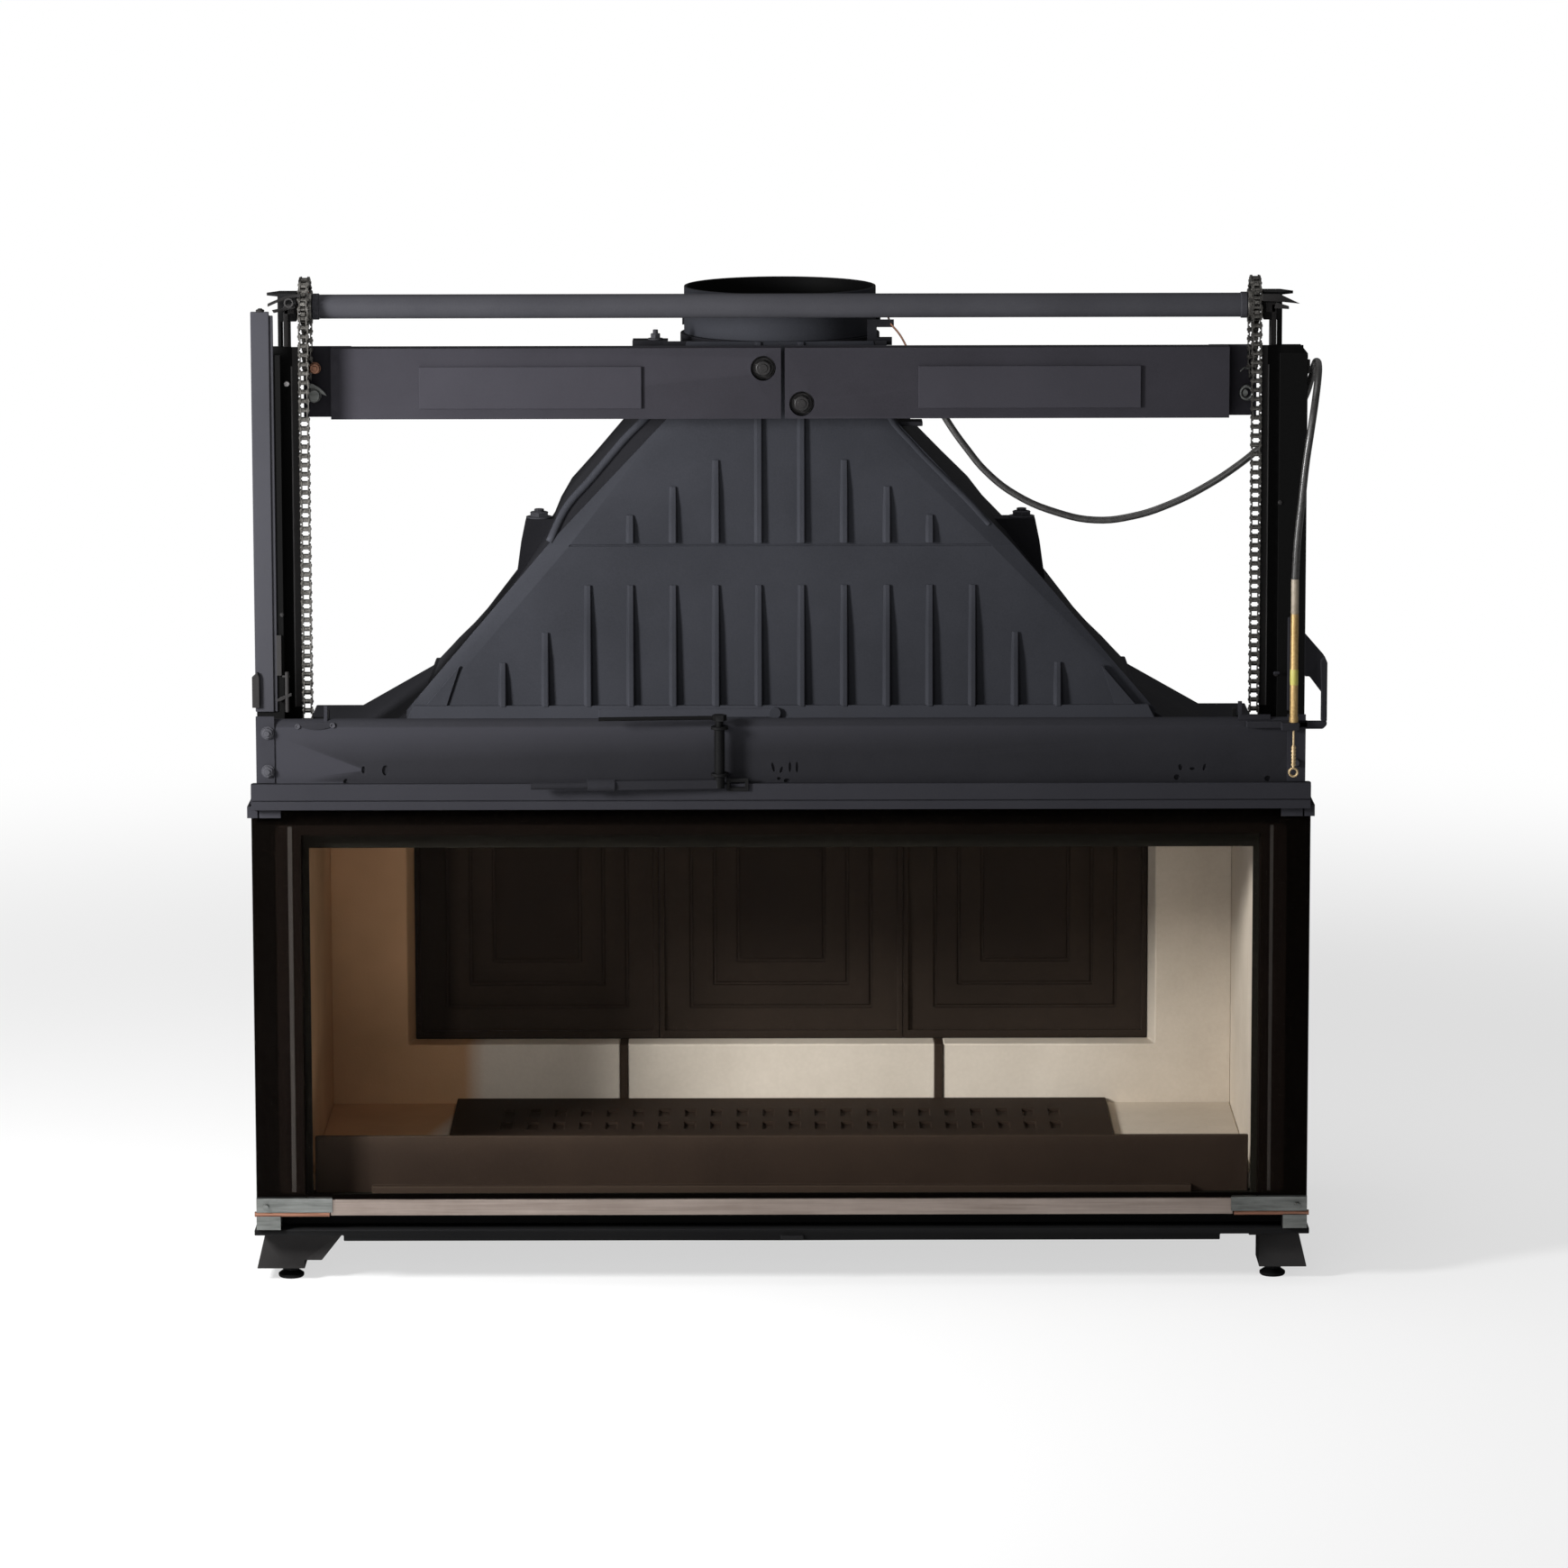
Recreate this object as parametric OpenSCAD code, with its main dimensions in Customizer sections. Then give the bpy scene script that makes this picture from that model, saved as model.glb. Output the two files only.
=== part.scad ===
// Wood fireplace insert with a lifting glass door on chains and a counterweight.
// Y runs back from the front face of the lintel; place() then centres the depth on the origin.

/* [Overall] */
// Width over the base frame
insert_w = 1100; // [1060:5:1160]
// Depth from the lintel face to the back of the casing
body_depth = 470; // [455:5:520]
// Height of the base frame above the floor
base_z = 56; // [52:1:64]
// Height of the ledge above the floor
ledge_z = 510; // [505:5:540]
// Height of the chain shaft above the floor
shaft_z = 1020; // [1015:5:1060]
// Travel of the door
door_travel = 400; // [320:5:400]

/* [Base] */
// Thickness of the base flange
flange_t = 6; // [4:0.5:8]
// Height of the webs between the flange and the floor plate
web_h = 18; // [14:1:24]
// Thickness of the base webs
web_t = 6; // [3:0.5:8]
// Thickness of the firebox floor plate
floor_t = 6; // [4:0.5:10]
// Front edge of the base flange
base_front_y = 12; // [8:1:16]

/* [Feet] */
// Middle of each foot, in from the end of the base
foot_inset = 34; // [30:1:45]
// Front feet, back from the lintel face
foot_front_y = 62; // [58:1:80]
// Rear feet, in front of the back of the casing
foot_rear_inset = 60; // [50:5:90]
// Diameter of the foot disc
foot_disc_d = 27; // [22:1:36]
// Diameter of the foot screw
foot_screw_d = 10; // [8:1:12]
// Height of the foot bracket
foot_bracket_h = 42; // [28:1:44]
// Travel of the levelling screw
foot_travel = 20; // [10:1:20]

/* [Firebox] */
// Edge of the opening, in from the end of the base
opening_inset = 59; // [56:1:75]
// Top of the opening
opening_top_z = 460; // [440:2:470]
// Thickness of the seal frame
seal_frame_t = 6; // [4:0.5:8]
// Front of the seal frame
seal_frame_y = 48; // [48:0.5:49]
// Depth of the jambs behind the seal frame
jamb_depth = 30; // [30:1:34]
// Thickness of the steel walls
wall_t = 3; // [2:0.5:4]
// Thickness of the side linings
side_lining_t = 14; // [10:0.5:14]
// Thickness of the floor lining
floor_lining_t = 19; // [14:1:24]
// Thickness of the rear lining
rear_lining_t = 34; // [26:1:36]
// Height of the lower row of rear panels
rear_row_h = 66; // [50:1:80]
// Half distance between the divider bars
divider_x = 174; // [160:1:190]
// Width of a divider bar
divider_w = 9; // [6:0.5:12]
// Edge of the fireback recess, in from the end of the base
recess_inset = 138; // [130:1:150]
// Thickness of the fireback plates
fireback_t = 9; // [7:0.5:10]
// Height of the log retainer
retainer_h = 60; // [45:1:70]
// Thickness of the log retainer
retainer_t = 6; // [4:0.5:8]
// Width of the hearth plate
hearth_w = 716; // [640:4:760]
// Rise of the hearth plate above the floor lining
hearth_t = 6; // [4:0.5:9]

/* [Door] */
// Edge of the glass, in from the end of the base
glass_inset = 2; // [2:0.5:5]
// Thickness of the glass
glass_t = 4; // [3:0.5:5]
// Front face of the glass
glass_y = 14; // [13:0.5:14]
// Gap between the base flange and the glass
glass_gap_z = 22; // [21:1:26]
// How far the glass reaches above the underside of the ledge
glass_lap = 20; // [10:1:30]
// Sheet thickness of the door frame
door_sheet = 3; // [2:0.5:3]
// Depth of the door frame
door_depth = 25.5; // [24:0.1:25.5]
// End of the steel strip, in from the edge of the glass
strip_inset = 78; // [70:1:98]
// Height of the steel strip under the glass
strip_h = 17; // [12:1:19]
// Width of the glass clamps
clamp_w = 79; // [60:1:85]
// Diameter of the guide rollers
roller_d = 29; // [27:0.1:29.6]
// Width of the guide rollers
roller_w = 12; // [8:1:16]

/* [Lintel] */
// End of the lintel plate, in from the end of the base
lintel_inset = 10; // [8:1:16]
// Height of the lintel plate
lintel_h = 66; // [55:1:75]
// Thickness of the lintel plate
lintel_t = 3; // [2:0.5:4]
// Height of the upper ledge strip
ledge_top_h = 17; // [14:1:22]
// Height of the lower ledge strip
ledge_low_h = 9; // [6:0.5:11]
// How far the ledge stands in front of the lintel
ledge_out = 8; // [5:0.5:9]
// Facade screw holes, in from the end of the base
facade_inset = 138; // [120:2:170]
// Diameter of the facade screw holes
facade_hole_d = 6; // [5:0.5:8]

/* [Columns] */
// Width of a column
column_w = 29; // [27:0.5:29]
// Depth of a column
column_depth = 90; // [84:1:94]
// How far the columns end below the shaft
column_drop = 45; // [44:1:60]
// Sheet thickness of the columns
column_sheet = 2; // [1.5:0.5:2]
// Width of the guide rail beside the chain
rail_lip = 16; // [8:0.5:16]
// Width of the outer strip on the left
strip_face_w = 19; // [14:0.5:22]

/* [Chain drive] */
// Back from the lintel face to the shaft
shaft_y = 102; // [101:0.5:103]
// Diameter of the shaft tube
shaft_d = 25; // [22:0.1:30]
// Wall of the shaft tube
shaft_wall = 2.6; // [2:0.1:3.2]
// Middle of each chain, in from the end of the base
chain_inset = 58; // [56:0.5:60]
// Pitch of the chain
chain_pitch = 9.525; // [8:0.005:10]
// Diameter of the chain rollers
chain_roller_d = 6.35; // [5:0.05:6.5]
// Height of the chain plates
chain_plate_h = 8.2; // [6:0.1:8.4]
// Length of the chain pins
chain_pin_l = 13; // [11:0.5:13.5]
// Teeth on a sprocket
sprocket_teeth = 18; // [17:1:18]
// Width of a sprocket
sprocket_w = 5.3; // [4:0.1:5.4]
// Diameter of the stub axles
axle_d = 12; // [10:0.5:14]
// Radial running clearance
run_gap = 0.05; // [0.02:0.01:0.1]

/* [Counterweight] */
// Ends of the counterweight, in from the end of the base
weight_inset = 83; // [75:1:110]
// Height of the counterweight
weight_h = 74; // [64:1:76]
// Depth of the counterweight
weight_depth = 24; // [24:0.5:28]
// Front of the counterweight
weight_y = 112; // [110:0.5:112]
// Length of the raised face plates
face_plate_l = 231; // [200:1:260]
// Height of the raised face plates
face_plate_h = 44; // [36:1:52]
// Diameter of the joining bolt holes
weight_hole_d = 26; // [20:1:28]

/* [Dome] */
// Front of the dome
dome_y = 158; // [157:0.5:160]
// Underside of the dome above the ledge
dome_lift = 30; // [26:1:36]
// Height of the flue collar base
collar_z = 975; // [960:1:985]
// Wall of the dome casting
dome_wall = 7; // [5:0.5:9]
// Half width at the foot of the front plate
dome_foot_x = 395; // [385:1:405]
// Half width at the joint line of the front plate
dome_joint_x = 245; // [235:1:255]
// Half width at the top of the front plate
dome_top_x = 118; // [112:1:124]
// Distance between the ribs
rib_pitch = 45; // [44:0.5:47]
// Width of a rib
rib_w = 8; // [5:0.5:12]

/* [Flue] */
// Outside diameter of the flue collar
collar_d = 204; // [190:1:206]
// Wall of the flue collar at its socket
collar_wall = 3; // [2:0.5:4]
// Depth of the socket that takes the flue pipe
socket_depth = 31; // [25:1:33]
// Width of the ledge under the socket
socket_ledge = 5; // [3:0.5:8]
// Height of the flue collar
collar_h = 50; // [46:1:60]
// Middle of the flue collar, back from the lintel face
collar_y = 275; // [270:1:285]
// Thickness of the damper flap
flap_t = 3; // [2:0.5:5]

/* [Air lever] */
// Middle of the lever spindle
lever_x = -63; // [-80:1:-50]
// Width of the lever spindle
spindle_d = 10.7; // [8:0.1:11]
// Length of the lever arm
lever_l = 136; // [100:1:160]
// Length of the thin lever tip
lever_tip_l = 58; // [40:1:80]

/* [Damper cable] */
// Diameter of the cable sheath
sheath_d = 7.5; // [6:0.5:8]
// Diameter of the pull wire
wire_d = 2.4; // [2:0.1:3]
// Outside diameter of the pull ring
ring_d = 10.5; // [9:0.5:14]
// Travel of the pull ring
pull_travel = 35; // [20:1:35]

/* [Hidden] */
$fn = 48;
eps = 0.01;
air = 0.3;
skirt_h = 58;
dome_plate_t = 8;
half_w = insert_w / 2;
foot_x = half_w - foot_inset;
recess_x = half_w - recess_inset;
glass_w = insert_w - 2 * glass_inset;
strip_w = glass_w - 2 * strip_inset;
chain_x = half_w - chain_inset;
weight_x = half_w - weight_inset;
front_y = -20;
mid_y = (front_y + body_depth) / 2;
casing_back = body_depth - 6;
foot_rear_y = body_depth - foot_rear_inset;
base_top = base_z + flange_t;
floor_z = base_top + web_h;
floor_top = floor_z + floor_t;
hearth_z = floor_top + floor_lining_t;
glass_z = base_top + glass_gap_z;
glass_top = ledge_z + glass_lap;
glass_back = glass_y + glass_t;
door_y = glass_back + air;
door_back = door_y + door_depth;
door_x = glass_w / 2 - 3;
opening_x = half_w - opening_inset;
opening_z = glass_z + 7;
seal_back = seal_frame_y + seal_frame_t;
jamb_back = seal_back + jamb_depth;
jamb_t = 4;
seal_x = opening_x + 15;
arm_x = seal_x + 2;
arm_t = 4;
column_out = half_w - 7;
column_in = column_out - column_w;
cheek_x = glass_w / 2 + 0.6;
cheek_t = 2;
column_y = seal_frame_y + 2;
column_back = column_y + column_depth;
column_top = shaft_z - column_drop;
wall_out = column_in - 1;
wall_in = wall_out - wall_t;
lining_in = wall_in - air - side_lining_t;
shelf_top = ledge_z - 20;
shelf_t = 6;
casing_top = ledge_z + dome_lift;
lintel_z = ledge_z + ledge_low_h + 1 + ledge_top_h;
lintel_top = lintel_z + lintel_h;
rear_y = body_depth - 27 - rear_lining_t;
recess_y = rear_y + rear_lining_t;
rail_y = column_y + column_sheet + roller_d + 1;
roller_y = column_y + column_sheet + 0.5 + roller_d / 2;
rail_t = 2;
pitch_r = chain_pitch / (2 * sin(180 / sprocket_teeth));
tip_r = chain_pitch * (0.6 + 1 / tan(180 / sprocket_teeth)) / 2;
chain_front_y = shaft_y - pitch_r;
chain_rear_y = shaft_y + pitch_r;
chain_front_n = floor((33 + door_travel - 4) / chain_pitch) - 1;
chain_end_z = shaft_z - (chain_front_n + 1) * chain_pitch;
weight_z = shelf_top + door_travel + 11;
weight_top = weight_z + weight_h;
anchor_z = weight_z + 42;
weight_end_x = weight_x + 30;
weight_holes = [[-17.4, weight_z + 52.6], [22.6, weight_z + 15.5]];
dome_front_z = casing_top + 20;
dome_lean = 2.1;
dome_face_h = (collar_z - dome_front_z) / cos(dome_lean);
joint_h = 201;
dome_foot_z = casing_top + skirt_h;
dome_rear = body_depth - 8;
crank_z = collar_z + 12;
crank_x = collar_d / 2 + 2;
socket_r = collar_d / 2 - collar_wall;
throat_r = socket_r - socket_ledge;
flap_r = throat_r - 1;
lever_y = -14;
lever_z = lintel_z + spindle_d / 2 - 4;
pull_y = -14;
pull_x = half_w - 23.5;
clamp_z = lintel_top - 7;
block_in = chain_x + 8;
block_out = block_in + 16;

charcoal = [0.23, 0.23, 0.25];
black = [0.09, 0.09, 0.1];
castgrey = [0.2, 0.2, 0.22];
panelgrey = [0.24, 0.24, 0.26];
vermiculite = [0.7, 0.66, 0.6];
firebrown = [0.18, 0.15, 0.13];
stainless = [0.62, 0.58, 0.56];
zinc = [0.7, 0.7, 0.7];
glasstint = [0.25, 0.22, 0.2, 0.5];
chainsteel = [0.35, 0.34, 0.33];
brass = [0.76, 0.66, 0.42];
ropegrey = [0.5, 0.45, 0.38];

// Hand-chosen points of the damper cable, from the dome top round the right column
cable_points = [
    [136, 180, 964], [144, 178, 948], [155, 168, 928], [167, 160, 907], [180, 157, 886],
    [196, 157, 864], [216, 157, 840], [248, 157, 815], [292, 157, 796], [332, 157, 788],
    [372, 157, 792], [412, 157, 805], [450, 157, 824], [482, 156, 845], [508, 155, 866],
    [533, 153, 888], [550, 147, 914], [557, 130, 940], [558, 104, 957], [558, 72, 964],
    [557, 42, 962], [554, 15, 952], [550, -4, 933], [545, -13, 903], [540, -14, 868],
    [536, -14, 828], [532, -14, 788], [530, -14, 748.4]];
cable_route = [for (p = cable_points) [136 + (p[0] - 136) * (pull_x - 136) / 394, p[1], p[2]]];

// Everything below is drawn from the lintel face back, and this centres it
module place() translate([0, -mid_y, 0]) children();

// A block between three pairs of planes
module slab(x, y, z)
    translate([x[0], y[0], z[0]]) cube([x[1] - x[0], y[1] - y[0], z[1] - z[0]]);

// A flat frame in the XZ plane
module ring_slab(outer_x, outer_z, inner_x, inner_z, y)
    difference() {
        slab([-outer_x, outer_x], y, outer_z);
        slab([-inner_x, inner_x], [y[0] - 1, y[1] + 1], inner_z);
    }

// Draws its child on the right, on the left, or on both sides
module on_side(side) mirror([side < 0 ? 1 : 0, 0, 0]) children();
module both() for (side = [-1, 1]) on_side(side) children();

// A round bar along X, Y or Z
module bar_x(d, x) translate([x[0], 0, 0]) rotate([0, 90, 0]) cylinder(d = d, h = x[1] - x[0]);
module bar_y(d, y) translate([0, y[0], 0]) rotate([-90, 0, 0]) cylinder(d = d, h = y[1] - y[0]);

// A plate drawn in the XZ plane, from y back by its thickness
module plate_xz(y, t) translate([0, y + t, 0]) rotate([90, 0, 0]) linear_extrude(t) children();

// A plate drawn in the YZ plane, from x outwards by its thickness
module plate_yz(x, t)
    translate([x, 0, 0]) rotate([90, 0, 90]) linear_extrude(t) children();

module base_frame() place() color(black) {
    difference() {
        slab([-half_w, half_w], [base_front_y, body_depth], [base_z, base_top]);
        slab([-half_w + 70, half_w - 70], [110, body_depth - 70], [base_z - 1, base_top + 1]);
        for (x = [-foot_x, foot_x], y = [foot_front_y, foot_rear_y])
            translate([x, y, base_z - 1]) cylinder(d = foot_screw_d + 3, h = flange_t + 2);
    }
    slab([-half_w + 20, half_w - 20], [seal_frame_y - 8, seal_frame_y - 2], [base_top, floor_z]);
    both() slab([wall_in - web_t - 4, wall_in - 4], [jamb_back, body_depth - 10],
                [base_top, floor_z]);
    slab([-wall_in + 4 + web_t, wall_in - 4 - web_t], [body_depth - 10 - web_t, body_depth - 10],
         [base_top, floor_z]);
    slab([-1, 23], [base_front_y - 4, base_front_y + 8], [base_z - 5, base_z]);
    slab([-half_w + 93, half_w - 93], [base_front_y, base_front_y + flange_t],
         [base_z - flange_t, base_z + 1]);
}

// A folded bracket under the base frame that carries one levelling screw
module foot_bracket() {
    low = base_z - foot_bracket_h;
    difference() {
        slab([-27, 20], [-24, 24], [base_z - 8, base_z]);
        translate([0, 0, base_z - 9]) cylinder(d = foot_screw_d + 2 * run_gap, h = 10);
    }
    slab([-16, -13], [-24, 24], [low, base_z - 7]);
    plate_xz(-24, 3) polygon([[-16, base_z], [24, base_z], [34, low], [-16, low]]);
    translate([0, 24, 0]) rotate([90, 0, 0]) linear_extrude(48)
        polygon([[17, base_z], [24, base_z], [34, low], [31, low]]);
}

module foot_brackets() place() color(black) {
    low = base_z - foot_bracket_h + 9;
    both() for (y = [foot_front_y, foot_rear_y]) translate([foot_x, y, 0]) foot_bracket();
    for (y = [foot_front_y, foot_rear_y]) translate([-foot_x, y, 0]) plate_xz(-24, 3)
        polygon([[14, base_z], [60, base_z], [34, low], [14, low]]);
}

// A levelling screw with its disc and the hexagon that turns it
module foot_screw() {
    cylinder(d = foot_disc_d, h = 4);
    translate([0, 0, 4]) cylinder(d1 = foot_disc_d, d2 = foot_screw_d + 2, h = 4);
    translate([0, 0, 8]) cylinder(d = 17 / cos(30), h = 6, $fn = 6);
    translate([0, 0, 8]) cylinder(d = foot_screw_d, h = base_z + foot_travel - 10);
}
module foot_front_left() place() color(black) translate([-foot_x, foot_front_y, 0]) foot_screw();
module foot_front_right() place() color(black) translate([foot_x, foot_front_y, 0]) foot_screw();
module foot_rear_left() place() color(black) translate([-foot_x, foot_rear_y, 0]) foot_screw();
module foot_rear_right() place() color(black) translate([foot_x, foot_rear_y, 0]) foot_screw();

module firebox_floor() place() color(castgrey)
    slab([-wall_out, wall_out], [jamb_back, casing_back], [floor_z, floor_top]);

// A side wall with its front return behind the jamb
module firebox_wall(side) place() color(castgrey) on_side(side) {
    slab([wall_in, wall_out], [jamb_back, casing_back - wall_t], [floor_top, casing_top]);
    slab([opening_x + 4, wall_in], [jamb_back, jamb_back + wall_t], [floor_top, shelf_top - shelf_t]);
    slab([lining_in - 12, wall_in], [dome_y + 60, dome_y + 74], [shelf_top + 4, ledge_z + 10.4]);
}
module firebox_left_wall() firebox_wall(-1);
module firebox_right_wall() firebox_wall(1);

module firebox_back() place() color(castgrey) {
    slab([-wall_out, wall_out], [casing_back - wall_t, casing_back], [floor_top, casing_top]);
    for (x = [250 - half_w, 0, half_w - 250])
        slab([x - 15, x + 15], [casing_back, body_depth], [floor_top + 40, casing_top - 20]);
}

module seal_frame() place() color(black) {
    ring_slab(seal_x, [base_top, ledge_z], opening_x, [opening_z, opening_top_z],
              [seal_frame_y, seal_back]);
    both() slab([opening_x + 4, opening_x + 4 + jamb_t], [seal_back, jamb_back],
                [floor_top, shelf_top - shelf_t]);
    slab([-opening_x, opening_x], [seal_back, seal_back + 12], [opening_top_z, opening_top_z + 4]);
    slab([-seal_x, seal_x], [seal_back, jamb_back], [base_top + 4, floor_top]);
}

// The shelf and riser that make the pocket for the counterweight
module lintel_shelf() place() color(castgrey) {
    slab([-seal_x, seal_x], [seal_back, dome_y + 4], [shelf_top - shelf_t, shelf_top]);
    slab([-wall_in, wall_in], [dome_y, dome_y + 4], [shelf_top, dome_front_z - 0.4]);
    slab([-dome_foot_x - 50, dome_foot_x + 50], [dome_y + 4, dome_y + dome_plate_t + 1],
         [dome_front_z - 6, dome_front_z - 0.4]);
}

module lining_side(side) place() color(vermiculite) on_side(side)
    slab([lining_in, wall_in - air], [jamb_back + wall_t, recess_y], [floor_top, shelf_top - shelf_t]);
module lining_left() lining_side(-1);
module lining_right() lining_side(1);

module lining_floor() place() color(vermiculite)
    both() slab([hearth_w / 2 + 1, lining_in], [jamb_back + wall_t, rear_y], [floor_top, hearth_z]);

// The rear panels: a low row cut by the divider bars, and one tall panel each side
module lining_rear() place() color(vermiculite) {
    row_top = hearth_z + rear_row_h;
    for (x = [[-lining_in, -divider_x - divider_w / 2],
              [-divider_x + divider_w / 2, divider_x - divider_w / 2],
              [divider_x + divider_w / 2, lining_in]])
        slab(x, [rear_y, recess_y], [floor_top, row_top]);
    both() translate([0, 0, row_top]) linear_extrude(shelf_top - shelf_t - row_top)
        polygon([[recess_x, rear_y], [lining_in, rear_y],
                 [lining_in, recess_y], [recess_x - 7, recess_y]]);
}

module divider_bars() place() color(firebrown)
    for (x = [-divider_x, divider_x])
        slab([x - divider_w / 2, x + divider_w / 2], [rear_y - 2, recess_y],
             [hearth_z, hearth_z + rear_row_h]);

// A fireback plate with a raised rim and plain nested grooves
module fireback(x) place() color(firebrown) {
    low = hearth_z + rear_row_h;
    top = shelf_top - shelf_t;
    difference() {
        slab(x, [recess_y, recess_y + fireback_t], [low, top]);
        for (i = [0 : 2]) {
            inset = 34 + 26 * i;
            translate([0, recess_y - 1, 0])
                difference() {
                    slab([x[0] + inset, x[1] - inset], [0, 3], [low + inset, top - inset]);
                    slab([x[0] + inset + 3, x[1] - inset - 3], [-1, 4],
                         [low + inset + 3, top - inset - 3]);
                }
        }
    }
    slab([x[0], x[1]], [recess_y - 5, recess_y], [low, low + 9]);
    slab([x[0], x[0] + 6], [recess_y - 5, recess_y], [low + 9, top]);
    slab([x[1] - 6, x[1]], [recess_y - 5, recess_y], [low + 9, top]);
}
fireback_step = (recess_x - 7) * 2 / 3;
module fireback_left() fireback([-1.5 * fireback_step, -0.5 * fireback_step - air]);
module fireback_centre() fireback([-0.5 * fireback_step, 0.5 * fireback_step - air]);
module fireback_right() fireback([0.5 * fireback_step, 1.5 * fireback_step]);

// The cast hearth plate with two rows of blind slots
module hearth_plate() place() color(firebrown) {
    x = hearth_w / 2;
    slot_n = 22;
    slot_step = (hearth_w - 120) / (slot_n - 1);
    difference() {
        slab([-x, x], [jamb_back + wall_t, rear_y - 2.2], [floor_top, hearth_z + hearth_t]);
        for (i = [0 : slot_n - 1], y = [rear_y - 150, rear_y - 90])
            translate([-x + 60 + i * slot_step, y, hearth_z + hearth_t - 3])
                slab([-6, 6], [0, 34], [0, 4]);
    }
}

module log_retainer() place() color(firebrown) {
    slab([-opening_x + air, opening_x - air], [jamb_back - retainer_t, jamb_back],
         [floor_top, floor_top + retainer_h]);
    slab([-opening_x + 60, opening_x - 60], [jamb_back - 14, jamb_back - retainer_t],
         [floor_top, floor_top + 8]);
}

// A slab that rests on the rear linings and rises to a gap behind the lintel
module smoke_baffle() place() color(vermiculite) {
    seat = shelf_top - shelf_t;
    lip = [dome_y + 58, ledge_z + 14];
    plate_yz(-lining_in + 6, 2 * lining_in - 12)
        polygon([lip, lip + [0, 14], [rear_y, seat + 14], [recess_y, seat + 14],
                 [recess_y, seat], [rear_y, seat]]);
}

// Outer and inner outline of the dome, as half widths over heights from its foot; its right
// shoulder is cut lower than its left one
dome_left = [[1, 166], [-6, 183], [-18, 204], [-43, 232], [-76, 271], [-115, 315], [-123, 336]];
dome_right = [[-4, 162], [-25, 184], [-41, 205], [-70, 234], [-102, 267], [-129, 302], [-133, 336]];
function dome_outline(t, shoulder) = concat([
    [dome_foot_x - 20 - t, 0], [dome_foot_x - 33 - t, 14], [dome_foot_x - 42 - t, 24],
    [dome_foot_x - 60 - t, 42], [dome_foot_x - 74 - t, 58], [dome_joint_x + 41 - t, 104]],
    [for (p = shoulder) [dome_joint_x + p[0] - t, p[1]]],
    [[dome_joint_x + shoulder[6][0] - t, collar_z - dome_foot_z + 2 * t]]);
function on_left(p) = [for (i = [len(p) - 1 : -1 : 0]) [-p[i][0], p[i][1]]];
function mirror_x(p) = concat(p, [for (i = [len(p) - 1 : -1 : 0]) [-p[i][0], p[i][1]]]);

// The rear face of the leaning front plate at a height
function plate_back(z) = dome_y + dome_plate_t + 0.1 + (z - dome_front_z) * tan(dome_lean);

// The dome body between its side outline and its leaning front and rear faces
module dome_body(t) {
    intersection() {
        plate_xz(dome_y, dome_rear - dome_y) translate([0, dome_foot_z])
            polygon(concat(dome_outline(t, dome_right), on_left(dome_outline(t, dome_left))));
        plate_yz(-half_w, insert_w)
            polygon([[plate_back(dome_foot_z) + t, dome_foot_z], [dome_rear - 20 - t, dome_foot_z],
                     [dome_rear - 34 - t, dome_foot_z + 60],
                     [collar_y + collar_d / 2 + 16 - t, collar_z - 26 - t],
                     [plate_back(collar_z) + t, collar_z - t]]);
    }
}

module dome_shell() place() color(castgrey) {
    difference() {
        union() {
            dome_body(0);
            intersection() {
                translate([0, collar_y, collar_z - 34]) cylinder(d = collar_d + 8, h = 34, $fn = 96);
                slab([-collar_d, collar_d], [plate_back(collar_z), body_depth], [0, collar_z]);
            }
        }
        translate([0, 0, -eps]) dome_body(dome_wall);
        translate([0, collar_y, collar_z - 30]) cylinder(r = throat_r, h = 40, $fn = 96);
    }
    plate_xz(dome_y + 132, 30) translate([0, dome_foot_z]) {
        polygon([for (p = [[36, 103], [38.5, 110], [33, 150], [28, 174], [-20, 174], [-9, 162]])
            [dome_joint_x + p[0], p[1]]]);
        polygon([for (p = [[36, 103], [38.5, 110], [33, 150], [28, 174], [-7, 174], [-4, 164]])
            [-dome_joint_x - p[0], p[1]]]);
    }
    slab([-dome_top_x - 37, -dome_top_x], [dome_y + 27, dome_y + 54], [collar_z - 10, collar_z]);
    slab([dome_top_x + 1, dome_top_x + 33], [dome_y + 27, dome_y + 54], [collar_z - 76, collar_z - 70]);
    slab([collar_d / 2 - 10, dome_top_x], [dome_y + 46, dome_y + 54], [collar_z - 7, collar_z + 1]);
    slab([collar_d / 2 - 10, collar_d / 2], [dome_y + 46, dome_y + 49], [collar_z, collar_z + 20]);
    slab([collar_d / 2, collar_d / 2 + 18], [dome_y + 46, dome_y + 49],
         [collar_z + 12, collar_z + 20]);
}

// The sloping skirt between the firebox walls and the dome
module dome_skirt() place() color(castgrey)
    difference() {
        skirt_body(0);
        translate([0, 0, -eps]) skirt_body(wall_t);
        slab([-dome_foot_x + 28, dome_foot_x - 28], [dome_y + 24, dome_rear - 32],
             [dome_foot_z - 2 * wall_t, dome_foot_z + 1]);
    }
module skirt_body(t)
    intersection() {
        plate_xz(dome_y, body_depth - dome_y) polygon(mirror_x([
            [wall_out - t, casing_top - t / wall_t], [wall_out - t, casing_top + wall_t - t],
            [wall_out - 52 - t, casing_top + wall_t - t], [dome_foot_x - 14 - t, dome_foot_z - 8 - t],
            [dome_foot_x - 16 - t, dome_foot_z - t]]));
        plate_yz(-half_w, insert_w)
            polygon([[plate_back(dome_foot_z) + t, casing_top - 1],
                     [plate_back(dome_foot_z) + t, dome_foot_z], [dome_rear - 14 - t, dome_foot_z],
                     [casing_back - t, casing_top - 1]]);
    }

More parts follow.
